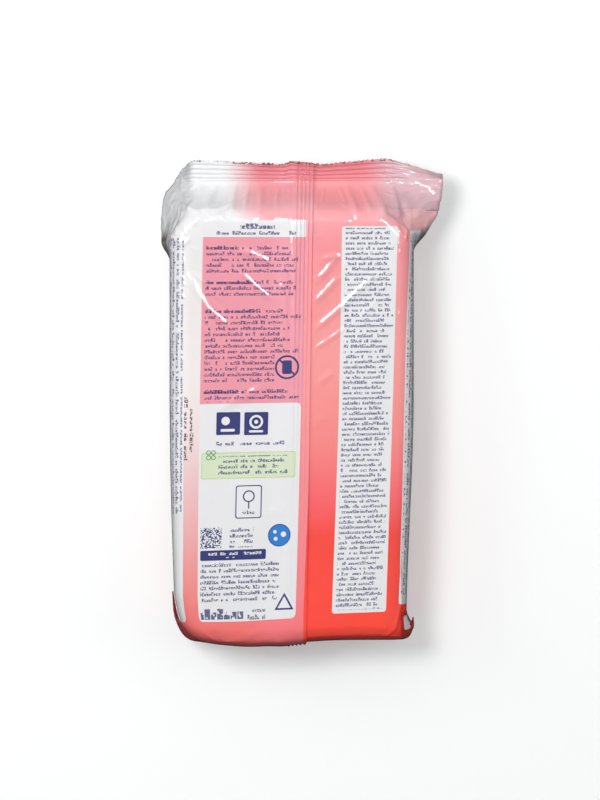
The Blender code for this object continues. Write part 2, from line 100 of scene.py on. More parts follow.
SEAM_HINGE_AT_TOP = 0.0022
SEAM_HINGE_AT_BOTTOM = -0.0020
UNDERSIDE = 0.0007
BACK_FACE = UNDERSIDE + BODY_HEIGHT
MIDDLE = UNDERSIDE + BODY_HEIGHT / 2
HALF_WIDTH = BODY_WIDTH / 2
HALF_LENGTH = BODY_LENGTH / 2
SEAL_ROOT = HALF_LENGTH + TOP_SLOPE_RUN

# %% How finely the film is divided
LEFT_COLUMNS = 106
SEAM_COLUMNS = 32
SEAM_UNDER_COLUMNS = 5
RIGHT_COLUMNS = 106
FRONT_COLUMNS = 52
SEAM_EDGE = LEFT_COLUMNS + SEAM_COLUMNS + 1
SEAM_END = SEAM_EDGE + SEAM_UNDER_COLUMNS
BACK_COLUMNS = SEAM_END + RIGHT_COLUMNS
ARC_STEPS = 20
SIDE_LENGTH = 0.020
SIDE_SHARE = 0.14
HINGE_SLOPE = 0.011

# %% [markdown]
# ## The film's sections
#
# The pack is a tube of film of nearly constant girth. Each station is one cross-section:
# a back ply and a front ply, each with its left fold, two shoulders and right fold. The
# plies meet at the folds, so the same description covers the round box, the spread ears
# and the flat seals, and a smooth curve through the stations gives every row between.
# A loft is used rather than cloth because the real film hardly stretches: it folds where
# the machine folded it, and those folds are known from the photograph.


# %% Stations along the pack
def station(back, front, back_radius, front_radius):
    """One section as 26 numbers: four corners a ply, and a radius for each."""
    radii = [back_radius, front_radius]
    return np.concatenate([np.ravel(back), np.ravel(front), radii])


def body_station(y, left_half, right_half):
    """A rounded box section round the stack."""
    high = MIDDLE + SEAL_THICKNESS / 2
    low = MIDDLE - SEAL_THICKNESS / 2
    left_fold = -left_half - SIDE_BULGE
    right_fold = right_half + SIDE_BULGE
    return station(
        [(left_fold, y, high), (-left_half, y, BACK_FACE),
         (right_half, y, BACK_FACE), (right_fold, y, high)],
        [(left_fold, y, low), (-left_half, y, UNDERSIDE),
         (right_half, y, UNDERSIDE), (right_fold, y, low)],
        SHOULDER_RADIUS,
        FOOT_RADIUS,
    )


def ear_station(y, reach, cut, left_drop, rounding, radius_share):
    """Near the stack's top end, where the ears stand out and the corners are cut off."""
    half_seal = SEAL_THICKNESS / 2
    spread = 0.0 if cut > 0.9 else 1.0
    left_y = y - LEFT_EAR_SINK * spread
    right_y = y + RIGHT_EAR_LIFT / 2 * spread
    left_fold = -HALF_WIDTH - LEFT_EAR_REACH
    right_fold = HALF_WIDTH + RIGHT_EAR_REACH * reach
    left_middle = MIDDLE - LEFT_EAR_DROP * left_drop
    back_right = HALF_WIDTH - RIGHT_CORNER_CUT * cut
    back_left = -HALF_WIDTH + LEFT_CORNER_CUT * cut
    front_share = 1.0 if cut > 0.9 else 0.0
    front_left = -HALF_WIDTH + LEFT_CORNER_CUT * front_share
    front_right = HALF_WIDTH - RIGHT_CORNER_CUT * front_share
    back = BACK_FACE - EDGE_ROUNDING * rounding
    front = UNDERSIDE + EDGE_ROUNDING * rounding
    return station(
        [(left_fold, left_y, left_middle + half_seal), (back_left, y, back),
         (back_right, y, back), (right_fold, right_y, MIDDLE + half_seal)],
        [(left_fold, left_y, left_middle - half_seal), (front_left, y, front),
         (front_right, y, front), (right_fold, right_y, MIDDLE - half_seal)],
        SHOULDER_RADIUS * radius_share,
        FOOT_RADIUS * (1.0 if radius_share > 0.7 else radius_share),
    )


def ear_foot_station():
    """Where the ears end and the plain box section begins."""
    plain = body_station(HALF_LENGTH - EAR_RUN, HALF_WIDTH, HALF_WIDTH)
    plain[[1, 13]] -= LEFT_EAR_SINK / 2
    plain[[10, 22]] += RIGHT_EAR_LIFT
    return plain


def edge_station():
    """A little short of the top edge, where the back face is still flat."""
    edge = ear_station(HALF_LENGTH, 0.82, 1.0, 0.45, 0.35, 0.45)
    ear = ear_station(HALF_LENGTH - EAR_RUN / 2, 0.46, 0.2, 0.15, 0.0, 0.75)
    share = EDGE_ROUNDING / (EAR_RUN / 2)
    between = edge + (ear - edge) * share
    between[[5, 8]] = BACK_FACE
    between[[17, 20]] = UNDERSIDE
    between[24] = SHOULDER_RADIUS * 0.6
    between[25] = FOOT_RADIUS * 0.6
    return between


def top_seal_station(reach):
    """Across the top seal, from its root at reach 0 to its cut edge at reach 1."""
    y = SEAL_ROOT + reach * SEAL_WIDTH
    left_y = SEAL_ROOT + reach * (SEAL_WIDTH - LEFT_SEAL_SETBACK)
    right_y = SEAL_ROOT + reach * (SEAL_WIDTH - RIGHT_SEAL_SETBACK)
    half_seal = SEAL_THICKNESS / 2
    bend = -HALF_WIDTH + LEFT_SEAL_BEND_INSET
    left_fold = -HALF_WIDTH + LEFT_SEAL_END_INSET * (1 + reach)
    left_low = TOP_SEAL_HEIGHT - LEFT_EAR_DROP
    curl = HALF_WIDTH - RIGHT_CORNER_CUT
    right_fold = HALF_WIDTH + RIGHT_EAR_REACH
    right_low = TOP_SEAL_HEIGHT - reach * RIGHT_SEAL_CURL
    high = TOP_SEAL_HEIGHT + half_seal
    low = TOP_SEAL_HEIGHT - half_seal
    return station(
        [(left_fold - half_seal, left_y, left_low), (bend, y, high),
         (curl, y, high), (right_fold, right_y, right_low + half_seal)],
        [(left_fold + half_seal, left_y, left_low), (bend + half_seal, y, low),
         (curl, y, low), (right_fold, right_y, right_low - half_seal)],
        SHOULDER_RADIUS * 0.35,
        SHOULDER_RADIUS * 0.35,
    )


def bottom_station(run, drop, corner):
    """Over the stack's bottom end, each argument from 0 to 1 as in the part."""
    y = -HALF_LENGTH - run * BOTTOM_SLOPE_RUN
    under_y = y + max(run, 0.0) * BOTTOM_UNDERCUT
    high = BACK_FACE - drop * (BACK_FACE - MIDDLE - SEAL_THICKNESS)
    low = UNDERSIDE + drop * (MIDDLE - SEAL_THICKNESS - UNDERSIDE)
    half_seal = SEAL_THICKNESS / 2
    left = -HALF_WIDTH + LEFT_SIDE_TAPER + corner * BOTTOM_LEFT_CORNER
    right = HALF_WIDTH - RIGHT_SIDE_TAPER - corner * BOTTOM_RIGHT_CORNER
    soft = 1 - drop
    return station(
        [(left - SIDE_BULGE, y, MIDDLE + half_seal), (left, y, high),
         (right, y, high), (right + SIDE_BULGE, y, MIDDLE + half_seal)],
        [(left - SIDE_BULGE, under_y, MIDDLE - half_seal), (left, under_y, low),
         (right, under_y, low), (right + SIDE_BULGE, under_y, MIDDLE - half_seal)],
        0.001 + SHOULDER_RADIUS * soft,
        0.001 + FOOT_RADIUS * soft,
    )


def folded_seal_station(reach):
    """Across the bottom seal, which hangs in front of the end face."""
    outer = -HALF_LENGTH - BOTTOM_SLOPE_RUN * 0.7 - FOLDED_SEAL_CLEARANCE
    inner = outer + SEAL_THICKNESS
    z = MIDDLE - SEAL_THICKNESS - reach * SEAL_WIDTH
    left = -HALF_WIDTH + LEFT_SIDE_TAPER - SIDE_BULGE - FLAP_CLEARANCE
    corner = left + FOLDED_SEAL_INSET
    right = HALF_WIDTH - RIGHT_SIDE_TAPER + SIDE_BULGE + FLAP_CLEARANCE
    flared = right + RIGHT_FLAP_FLARE
    opened = min(1.0, 0.35 + reach)
    left_tip = -HALF_LENGTH + LEFT_FLAP_LENGTH * opened
    right_tip = -HALF_LENGTH + RIGHT_FLAP_LENGTH * opened
    return station(
        [(left - SEAL_THICKNESS, left_tip, z), (corner - SEAL_THICKNESS, outer, z),
         (right + SEAL_THICKNESS, outer, z), (flared + SEAL_THICKNESS, right_tip, z)],
        [(left, left_tip, z), (corner, inner, z), (right, inner, z), (flared, right_tip, z)],
        BOTTOM_LEFT_CORNER + SEAL_THICKNESS,
        BOTTOM_LEFT_CORNER,
    )


LEFT_END = HALF_WIDTH - LEFT_SIDE_TAPER
RIGHT_END = HALF_WIDTH - RIGHT_SIDE_TAPER
STATIONS = [
    (top_seal_station(1.0), 32),
    (top_seal_station(0.0), 28),
    (ear_station(HALF_LENGTH, 0.82, 1.0, 0.45, 0.35, 0.45), 6),
    (edge_station(), 12),
    (ear_station(HALF_LENGTH - EAR_RUN / 2, 0.46, 0.2, 0.15, 0.0, 0.75), 13),
    (ear_foot_station(), 92),
    (body_station(HALF_LENGTH * 0.15, HALF_WIDTH, HALF_WIDTH), 54),
    (body_station(-HALF_LENGTH + EAR_RUN, LEFT_END, RIGHT_END), 14),
    (bottom_station(-1.2, 0.0, 0.2), 8),
    (bottom_station(0.35, 0.1, 0.5), 8),
    (bottom_station(1.0, 0.45, 0.9), 6),
    (bottom_station(0.7, 1.0, 1.0), 4),
    (folded_seal_station(0.05), 18),
    (folded_seal_station(1.0), 0),
]
SEAL_ROOT_STATION = 1
EDGE_STATION = 3
EAR_FOOT_STATION = 5
FOLD_STATION = 11
first_rows = np.cumsum([0] + [count for _, count in STATIONS])
print(len(STATIONS), "stations,", first_rows[-1], "rows of film")


# %% A smooth curve through the stations
def smooth_through(knots, values, places):
    """Reads a monotone cubic curve through values at places."""
    step = np.diff(knots)[:, None]
    slope = np.diff(values, axis=0) / step
    tangent = np.zeros_like(values)
    same_way = slope[:-1] * slope[1:] > 0
    safe = np.where(same_way, slope[:-1] + slope[1:], 1.0)
    tangent[1:-1] = np.where(same_way, 2 * slope[:-1] * slope[1:] / safe, 0.0)
    tangent[0] = slope[0]
    tangent[-1] = slope[-1]
    index = np.clip(np.searchsorted(knots, places, side="right") - 1, 0, len(knots) - 2)
    width = step[index]
    t = (places[:, None] - knots[index][:, None]) / width
    return (
        (2 * t**3 - 3 * t**2 + 1) * values[index]
        + (t**3 - 2 * t**2 + t) * width * tangent[index]
        + (-2 * t**3 + 3 * t**2) * values[index + 1]
        + (t**3 - t**2) * width * tangent[index + 1]
    )


values = np.array([numbers for numbers, _ in STATIONS])
middles = (values[:, 3:6] + values[:, 6:9]) / 2
knots = np.concatenate([[0.0], np.cumsum(np.linalg.norm(np.diff(middles, axis=0), axis=1))])
places = [
    knots[k] + (knots[k + 1] - knots[k]) * step / count
    for k, (_, count) in enumerate(STATIONS[:-1])
    for step in range(count)
]
places = np.array([*places, knots[-1]])
rows = smooth_through(knots, values, places)
film_v = knots[EAR_FOOT_STATION] + (HALF_LENGTH - EAR_RUN) - places
print("film length along the middle", round(float(knots[-1]) * 1000), "mm")

# %% [markdown]
# ## Points round each section
#
# The back ply is divided by distance from its middle, so a print coordinate in
# millimetres comes with every point for nothing. The fin seam is a true fold of film:
# its top ply runs right to the free edge, turns under, and returns to the hinge.


# %% Rings of points
def rounded(corners, radius):
    """The path through four corners, the two middle ones turned into curves."""
    first, left, right, last = (Vector(c) for c in corners)
    path = [first]
    for before, corner, after in ((first, left, right), (left, right, last)):
        to_before = before - corner
        to_after = after - corner
        cut = min(radius, to_before.length * 0.48, to_after.length * 0.48)
        start = corner + to_before.normalized() * cut
        end = corner + to_after.normalized() * cut
        for k in range(ARC_STEPS + 1):
            t = k / ARC_STEPS
            path.append(start * (1 - t) ** 2 + corner * (2 * t * (1 - t)) + end * t**2)
    path.append(last)
    return np.array([tuple(p) for p in path])


def along(path, distances):
    """The points at these distances along a path."""
    steps = np.linalg.norm(np.diff(path, axis=0), axis=1)
    reached = np.concatenate([[0.0], np.cumsum(steps)])
    return np.stack([np.interp(distances, reached, path[:, k]) for k in range(3)], axis=1)


def path_lengths(path):
    """The whole length of a path, and the length to where it crosses the middle plane."""
    steps = np.linalg.norm(np.diff(path, axis=0), axis=1)
    reached = np.concatenate([[0.0], np.cumsum(steps)])
    inner = slice(ARC_STEPS, len(path) - ARC_STEPS)
    return reached[-1], np.interp(0.0, path[inner, 0], reached[inner])


share_down = (places - places[0]) / (places[-1] - places[0])
hinges = SEAM_HINGE_AT_TOP + (SEAM_HINGE_AT_BOTTOM - SEAM_HINGE_AT_TOP) * share_down
left_shares = np.linspace(0, 1, LEFT_COLUMNS)
right_shares = np.linspace(0, 1, RIGHT_COLUMNS)
grid, film_u, lifts, seam_reach = [], [], [], []
for row, hinge in zip(rows, hinges):
    back = rounded(row[0:12].reshape(4, 3), row[24])
    front = rounded(row[12:24].reshape(4, 3), row[25])
    whole, centre = path_lengths(back)
    front_length = path_lengths(front)[0]
    over = np.linspace(hinge, hinge + SEAM_WIDTH, SEAM_COLUMNS + 1)
    under = np.linspace(hinge + SEAM_WIDTH, hinge + 2 * SEAM_THICKNESS, SEAM_UNDER_COLUMNS)
    left_end = centre + hinge - SEAM_RAMP
    right_start = centre + hinge + 2 * SEAM_THICKNESS
    left = np.interp(left_shares, [0, SIDE_SHARE, 1], [0, SIDE_LENGTH, left_end])
    from_right = np.interp(right_shares, [0, SIDE_SHARE, 1], [0, SIDE_LENGTH, whole - right_start])
    right = whole - from_right[::-1]
    across = np.concatenate([left, centre + over, centre + under, right])
    beneath = np.linspace(front_length, 0.0, FRONT_COLUMNS)
    grid.append(np.concatenate([along(back, across), along(front, beneath)]))
    first_half = np.arange(FRONT_COLUMNS) < FRONT_COLUMNS // 2
    front_u = np.where(first_half, whole - centre + front_length - beneath, -centre - beneath)
    film_u.append(np.concatenate([across - centre, front_u]))
    lift = np.zeros(len(across) + FRONT_COLUMNS)
    from_hinge = np.clip((centre + hinge - left) / HINGE_SLOPE, 0, 1)
    lift[:LEFT_COLUMNS] = (SEAM_GAP + SEAM_THICKNESS) * (1 - from_hinge**2 * (3 - 2 * from_hinge))
    lift[LEFT_COLUMNS:SEAM_EDGE] = SEAM_GAP + SEAM_THICKNESS
    lift[SEAM_EDGE:SEAM_END] = SEAM_GAP
    lifts.append(lift)
    reach = np.full(len(lift), -1.0)
    reach[LEFT_COLUMNS:SEAM_EDGE] = over - hinge
    seam_reach.append(reach)
grid = np.array(grid)
film_u = np.array(film_u)
lifts = np.array(lifts)
seam_reach = np.array(seam_reach)
film_v = np.repeat(film_v[:, None], grid.shape[1], axis=1)
print("film grid", grid.shape[:2], "points")

# %% [markdown]
# ## Folds and wrinkles
#
# Tight film over a soft stack makes three things: slow swells of the whole face, sharp
# straight ridges where the film is drawn towards the seam, and small gathers where it
# closes to a seal. The ridges are placed one by one, because their directions are what
# tells the eye how the film was pulled. A noise would make them point every way.

# %% Drawn creases, in millimetres: a path on the flat film, a half width and a height
CREASES = [
    ([(-46.6, 70.0), (-43.2, 60.0), (-37.8, 51.6), (-26.4, 41.8)], 2.4, 0.66),
    ([(-46.0, 69.0), (-40.5, 64.5), (-35.0, 61.0)], 1.2, 0.30),
    ([(-23.6, 69.0), (-16.8, 62.0), (-8.6, 55.3)], 2.1, 0.58),
    ([(-24.5, 78.2), (-18.0, 76.5), (-9.5, 72.2)], 2.3, 0.62),
    ([(-4.9, 64.0), (-3.6, 60.7), (-0.8, 57.6)], 1.2, 0.34),
    ([(-36.5, 55.5), (-30.5, 50.0)], 1.0, 0.26),
    ([(-31.0, 66.0), (-26.0, 60.0)], 0.9, 0.22),
    ([(12.6, 74.0), (20.6, 75.4), (16.0, 69.0), (11.1, 63.0)], 2.1, 0.58),
    ([(21.9, 66.6), (10.6, 54.4)], 2.2, 0.60),
    ([(38.0, 67.4), (23.6, 53.2), (10.0, 41.6)], 2.3, 0.62),
    ([(24.6, 43.0), (10.0, 33.2)], 1.7, 0.46),
    ([(41.0, 58.0), (28.5, 44.6)], 1.2, 0.28),
    ([(40.0, 96.0), (46.0, 92.8), (55.0, 85.5)], 1.5, 0.46),
    ([(21.8, 117.0), (24.6, 103.0)], 1.3, 0.42),
    ([(15.1, 116.0), (13.6, 101.0)], 1.0, 0.34),
    ([(-23.5, 106.0), (-19.0, 111.0)], 1.2, 0.40),
    ([(-60.0, 108.0), (-52.0, 102.0), (-44.0, 97.5), (-34.0, 98.0), (-22.0, 106.0)], 1.6, 0.46),
    ([(-38.0, 95.5), (-33.0, 91.0)], 1.1, 0.34),
    ([(-50.0, 90.0), (-45.0, 82.0)], 1.3, 0.30),
    ([(-34.0, 6.2), (-24.0, 10.6), (-13.0, 16.6)], 2.4, 0.60),
    ([(-13.2, -40.8), (-2.8, -39.1)], 1.8, 0.22),
    ([(12.0, 17.6), (19.0, 23.4)], 2.6, 0.36),
    ([(9.8, 0.2), (17.2, 2.6)], 2.2, 0.32),
    ([(-43.5, -79.0), (-45.5, -86.0), (-49.5, -94.0)], 1.6, 0.40),
    ([(-42.0, -93.0), (-30.0, -99.0)], 1.6, 0.30),
    ([(-20.0, -92.0), (-29.0, -98.0)], 1.4, 0.25),
    ([(40.0, -99.0), (47.0, -92.5), (50.5, -80.0), (49.0, -62.0)], 1.5, 0.50),
    ([(42.0, -97.0), (52.0, -98.0)], 1.3, 0.45),
    ([(-38.0, 92.0), (-32.8, 93.8), (-24.6, 99.5)], 1.4, 0.40),
    ([(21.5, 104.0), (25.0, 100.2)], 1.1, 0.34),
    ([(-33.0, -98.0), (-14.0, -92.0)], 2.4, 0.40),
    ([(-8.0, -97.5), (3.0, -93.5)], 2.0, 0.26),
]

# %% Gathers below the top seal, in millimetres: a place, how far it leans, a half width and a height
GATHERS = [
    (-34.0, 6.0, 1.6, 0.9),
    (-25.0, 3.0, 1.3, 0.7),
    (-13.0, 2.0, 1.5, 0.8),
    (25.0, -5.0, 1.6, 0.8),
    (36.0, -7.0, 1.8, 1.0),
    (45.0, -6.0, 1.6, 0.9),
    (-6.0, 1.0, 0.9, 0.5),
    (31.0, -6.0, 1.0, 0.5),
    (-19.0, 3.0, 1.0, 0.5),
]


# %% Raise the creases and the gathers
def hump(place, centre, run):
    """1 at the centre, and nearly 0 from two runs away."""
    return np.exp(-(((place - centre) / run) ** 2))


def crease(u, v, path, half_width, height):
    """A fold with flat flanks along a path. It is lowest at the path's two ends."""
    lengths = [math.dist(a, b) for a, b in zip(path, path[1:])]
    total = sum(lengths)
    nearest = np.full_like(u, 1e6)
    reached = np.zeros_like(u)
    done = 0.0
    for (u0, v0), (u1, v1), length in zip(path, path[1:], lengths):
        share = np.clip(((u - u0) * (u1 - u0) + (v - v0) * (v1 - v0)) / length**2, 0, 1)
        apart = np.hypot(u - u0 - share * (u1 - u0), v - v0 - share * (v1 - v0))
        closer = apart < nearest
        nearest = np.where(closer, apart, nearest)
        reached = np.where(closer, (done + share * length) / total, reached)
        done += length
    along_it = np.clip(np.minimum(reached, 1 - reached) * 6, 0.15, 1)
    return height * along_it * np.clip(1 - nearest / half_width, 0, 1) ** 1.15


u_mm = film_u * 1000
v_mm = film_v * 1000
relief = np.zeros_like(u_mm)
for path, half_width, height in CREASES:
    relief = np.maximum(relief, crease(u_mm, v_mm, path, half_width, height))
root_v = v_mm[first_rows[SEAL_ROOT_STATION], 0]
edge_v = v_mm[first_rows[EDGE_STATION], 0]
slope_share = np.clip((root_v - v_mm) / (root_v - edge_v), 0, 1)
for place, lean, half_width, height in GATHERS:
    gather = hump(u_mm + lean * slope_share, place, half_width)
    relief = relief + height * np.sin(np.pi * slope_share) * gather
print(len(CREASES), "creases and", len(GATHERS), "gathers, up to", round(float(relief.max()), 2), "mm")

# %% Fine crinkles, seeded, that run the way the film is drawn
random = np.random.default_rng(7)
crinkle = np.zeros_like(u_mm)
UPPER_CRINKLES = 110
LOWER_CRINKLES = 50
EAR_CRINKLES = 150
SEAM_MIDDLE = 6


def add_crinkle(at_u, at_v, length, angle, half_width, height, side=1):
    """Keeps one short straight crease wherever it stands above the others."""
    end = (at_u + side * length * math.cos(angle), at_v + length * math.sin(angle))
    one = crease(u_mm, v_mm, [(at_u, at_v), end], half_width, height)
    np.maximum(crinkle, one, out=crinkle)


for _ in range(UPPER_CRINKLES):
    at_u = random.uniform(-50, 50)
    at_v = random.uniform(20, 118)
    length = random.uniform(3, 10)
    angle = math.radians(random.normal(45, 14))
    height = random.uniform(0.04, 0.16)
    side = 1 if at_u > SEAM_MIDDLE else -1
    add_crinkle(at_u, at_v, length, angle, random.uniform(0.8, 1.4), height, side)
for _ in range(LOWER_CRINKLES):
    at_u = random.uniform(-50, 50)
    at_v = random.uniform(-98, -70)
    length = random.uniform(4, 10)
    angle = random.uniform(-0.5, 0.5)
    add_crinkle(at_u, at_v, length, angle, 1.2, random.uniform(0.05, 0.15))
for _ in range(EAR_CRINKLES):
    side = random.choice([-1, 1])
    at_u = side * random.uniform(44, 78)
    at_v = random.uniform(80, 128)
    angle = random.uniform(0, math.pi)
    length = random.uniform(3, 9)
    half_width = random.uniform(1.1, 2.4)
    add_crinkle(at_u, at_v, length, angle, half_width, random.uniform(0.2, 0.65))
print("crinkles up to", round(float(crinkle.max()), 2), "mm")

# %% Rumple the rim where the face turns down to the slope, and swell the face, in millimetres
RIM_PLACE = 94
RIM_RUN = 6
RIM_END = 62
RUMPLE_HEIGHT = 0.16
SWELL_HEIGHT = 0.25
RIPPLE_HEIGHT = 0.12
SEAM_RELIEF_SHARE = 0.25
rim = hump(v_mm, RIM_PLACE, RIM_RUN) * np.clip((RIM_END - np.abs(u_mm)) / 10, 0, 1)
rumple = np.sin(u_mm / 2.3 + 1.4 * np.sin(u_mm / 6.1)) * np.sin(u_mm / 5.3 + v_mm / 4.1)
rumple = rumple + 0.6 * np.sin(u_mm / 1.5 + v_mm / 2.2)
swell = SWELL_HEIGHT * np.sin(u_mm / 17 + 0.6) * np.sin(v_mm / 23)
swell = swell + RIPPLE_HEIGHT * np.sin(u_mm / 9 - v_mm / 13)
inside = np.clip((54 - np.abs(u_mm)) / 12, 0, 1) * np.clip((92 - np.abs(v_mm)) / 12, 0, 1)
relief = relief + (crinkle + RUMPLE_HEIGHT * rim * rumple) + swell * inside
relief[:, LEFT_COLUMNS - 1:SEAM_END + 1] *= SEAM_RELIEF_SHARE
print("relief up to", round(float(relief.max()), 2), "mm")

# %% Draw the film's outline out of its straight lines, at the ends and the corners
CUT_EDGE_SAG = ([-50, -3, -1, 14, 36, 47, 56, 68], [0.0, 2.1, 0.9, 2.1, 0.0, -1.2, -0.8, 0.0])
LEFT_CORNER_DRAWN_IN = ([78, 85, 91, 97, 101], [0.0, 0.6, 1.5, 3.2, 3.6])
LEFT_EAR_SPREAD = 0.0018
LEFT_EAR_SPREAD_Y = 0.1055
LEFT_EAR_SPREAD_RUN = 0.005
CRUMPLED_CORNER = (0.045, -0.0925, 0.033)
CRUMPLED_CORNER_RUN = (0.0042, 0.008)
CRUMPLED_CORNER_DEPTH = 0.0034
CRUMPLE_DEPTH = 0.0007
near_bottom = np.clip((-HALF_LENGTH * 0.9 - grid[..., 1]) / (HALF_LENGTH * 0.1), 0, 1)
bulge = hump(grid[..., 0], BOTTOM_BULGE_CENTRE, BOTTOM_BULGE_WIDTH)
grid[..., 1] -= BOTTOM_BULGE * near_bottom * bulge
x_mm = grid[..., 0] * 1000
in_seal = np.clip((knots[SEAL_ROOT_STATION] - places) / knots[SEAL_ROOT_STATION], 0, 1)[:, None]
grid[..., 1] -= in_seal * np.interp(x_mm, *CUT_EDGE_SAG) / 1000
spread = hump(grid[..., 1], LEFT_EAR_SPREAD_Y, LEFT_EAR_SPREAD_RUN) * np.clip((-x_mm - 46) / 6, 0, 1)
grid[..., 0] -= LEFT_EAR_SPREAD * spread
drawn_in = np.interp(-grid[..., 1] * 1000, *LEFT_CORNER_DRAWN_IN)
grid[..., 0] += drawn_in / 1000 * np.clip((-x_mm - 34) / 12, 0, 1)
corner = hump(grid[..., 1], CRUMPLED_CORNER[1], CRUMPLED_CORNER_RUN[0])
corner *= hump(grid[..., 2], CRUMPLED_CORNER[2], CRUMPLED_CORNER_RUN[1])
corner *= grid[..., 0] > CRUMPLED_CORNER[0]
corner[first_rows[FOLD_STATION]:] = 0.0
crumple = np.sin(grid[..., 1] * 2600 + grid[..., 2] * 900)
grid[..., 0] += corner * (CRUMPLED_CORNER_DEPTH + CRUMPLE_DEPTH * crumple)
print("cut edge sags up to", max(CUT_EDGE_SAG[1]), "mm")

# %% Move the film along its normals
normals = np.cross(np.gradient(grid, axis=0), np.roll(grid, -1, axis=1) - np.roll(grid, 1, axis=1))
beside_seam = normals[:, LEFT_COLUMNS - 2] + normals[:, SEAM_END + 1]
normals[:, LEFT_COLUMNS:SEAM_END] = beside_seam[:, None]
normals /= np.maximum(np.linalg.norm(normals, axis=2, keepdims=True), 1e-12)
on_back = np.zeros_like(lifts)
on_back[:, :BACK_COLUMNS] = 1.0
grid = grid + normals * (lifts + on_back * relief / 1000)[..., None]

# %% [markdown]
# ## The pleat across the right ear
#
# The ear's film is folded over itself along a straight line across the pack. Rows that
# pass the line go down, back up beneath, and down again, so the fold has a real edge
# that casts a line of shade. It fades out where the ear joins the stack.

# %% Fold the pleat
PLEAT_Y = 0.0973
PLEAT_HALF = 0.0030
PLEAT_START_X = 0.046
PLEAT_START_RUN = 0.004
PLEAT_OVERLAP = 0.0016
PLEAT_DROP = 0.0012
PLEAT_DROP_RUN = 0.012
pleat_share = np.clip((PLEAT_Y + PLEAT_HALF - grid[..., 1]) / (2 * PLEAT_HALF), 0, 1)
pleat_mask = np.clip((grid[..., 0] - PLEAT_START_X) / PLEAT_START_RUN, 0, 1)
grid[..., 1] -= pleat_mask * PLEAT_OVERLAP * np.sin(2 * np.pi * pleat_share)
in_pleat = pleat_share * np.clip((grid[..., 1] - PLEAT_Y + PLEAT_DROP_RUN) / PLEAT_DROP_RUN, 0, 1)
grid[..., 2] -= pleat_mask * PLEAT_DROP * in_pleat
print("pleat on", int((pleat_mask > 0).any(axis=0).sum()), "columns")

# %% [markdown]
# ## The film as a mesh
#
# Each corner of each face stores its place on the print, in millimetres. The real web
# was printed flat and slipped a little as the machine pulled it round the stack: its
# upright edges lean, and its level lines rise to the right near the bottom. That warp
# goes into the print coordinates once, so that every printed field below is a plain
# upright shape. The slips are those of the six upright edges that the photograph shows.

# %% Print coordinates
SLIP_PLACES = [-85, -40, 5, 45, 86]
SLIPS = {
    -49.0: [-0.5, 0.0, 0.4, 0.6, 1.5],
    -41.5: [-2.8, -2.4, -1.5, -0.8, 0.0],
    4.0: [-3.8, -2.5, -1.4, -0.6, 0.1],
    21.0: [-4.7, -2.9, -1.4, -0.6, 0.0],
    46.0: [-5.4, -3.9, -2.4, -1.0, 0.0],
    52.0: [-6.2, -4.6, -3.5, -2.1, 0.3],
}


def print_place(u, v):
    """Where a point of the film lies on the printed artwork, in millimetres."""
    nearest = np.interp(u, list(SLIPS), range(len(SLIPS)))
    slip = np.zeros_like(u)
    for number, slips in enumerate(SLIPS.values()):
        slip += np.interp(v, SLIP_PLACES, slips) * np.clip(1 - np.abs(nearest - number), 0, 1)
    tilt = np.interp(v, [-90, 84], [0.040, 0.0])
    return u - slip, v - tilt * (u + 20)


count = grid.shape[1]
print_p, print_q = print_place(u_mm, v_mm)
next_p = np.roll(print_p, -1, axis=1)
next_q = np.roll(print_q, -1, axis=1)
broken = BACK_COLUMNS + FRONT_COLUMNS // 2 - 1
past = u_mm[:, broken] + (u_mm[:, broken] - u_mm[:, broken - 1])
next_p[:, broken], next_q[:, broken] = print_place(past, v_mm[:, broken])


# %% Build the film mesh
def zip_rows(points, upper, lower):
    """Triangles between two rows of point numbers, always by the shorter tie."""
    faces = []
    i = 0
    j = 0
    while i < len(upper) - 1 or j < len(lower) - 1:
        on_upper = j == len(lower) - 1
        if i < len(upper) - 1 and j < len(lower) - 1:
            tie_up = np.linalg.norm(points[upper[i + 1]] - points[lower[j]])
            tie_down = np.linalg.norm(points[upper[i]] - points[lower[j + 1]])
            on_upper = tie_up < tie_down
        if on_upper:
            faces.append((upper[i], upper[i + 1], lower[j]))
            i += 1
        else:
            faces.append((upper[i], lower[j + 1], lower[j]))
            j += 1
    return faces


def cut_edge(points, first):
    """Triangles that close the film at a cut edge, whose ring starts at this number."""
    ring = list(range(first, first + count))
    seam_top = ring[LEFT_COLUMNS:LEFT_COLUMNS + SEAM_COLUMNS + 1]
    seam_under = ring[LEFT_COLUMNS + SEAM_COLUMNS + 1:SEAM_END]
    left, right, front = ring[:LEFT_COLUMNS], ring[SEAM_END:BACK_COLUMNS], ring[BACK_COLUMNS:]
    return (
        zip_rows(points, seam_top, seam_under[::-1])
        + [(left[-1], seam_top[0], seam_under[-1]), (left[-1], seam_under[-1], right[0])]
        + zip_rows(points, left + right, front[::-1])
    )


TOOTH_COLUMNS = 4
TOOTH_DEPTH = 0.0005
saw = np.where(np.arange(count) % TOOTH_COLUMNS < TOOTH_COLUMNS / 2, 0.0, TOOTH_DEPTH)
saw[LEFT_COLUMNS:SEAM_END] = 0.0
grid[0, :, 1] -= saw
grid[-1, :, 2] += saw
points = grid.reshape(-1, 3)
row_number, column = np.meshgrid(np.arange(len(grid) - 1), np.arange(count), indexing="ij")
a = row_number * count + column
d = row_number * count + (column + 1) % count
quads = np.stack([a, a + count, d + count, d], axis=-1).reshape(-1, 4)
caps = [face[::-1] for face in cut_edge(points, 0)] + cut_edge(points, len(points) - count)
film_data = bpy.data.meshes.new("wrapper_film")
film_data.from_pydata(points.tolist(), [], quads.tolist() + caps)
corners_p = np.stack([print_p[:-1], print_p[1:], next_p[1:], next_p[:-1]], axis=-1).ravel()
corners_q = np.stack([print_q[:-1], print_q[1:], next_q[1:], next_q[:-1]], axis=-1).ravel()
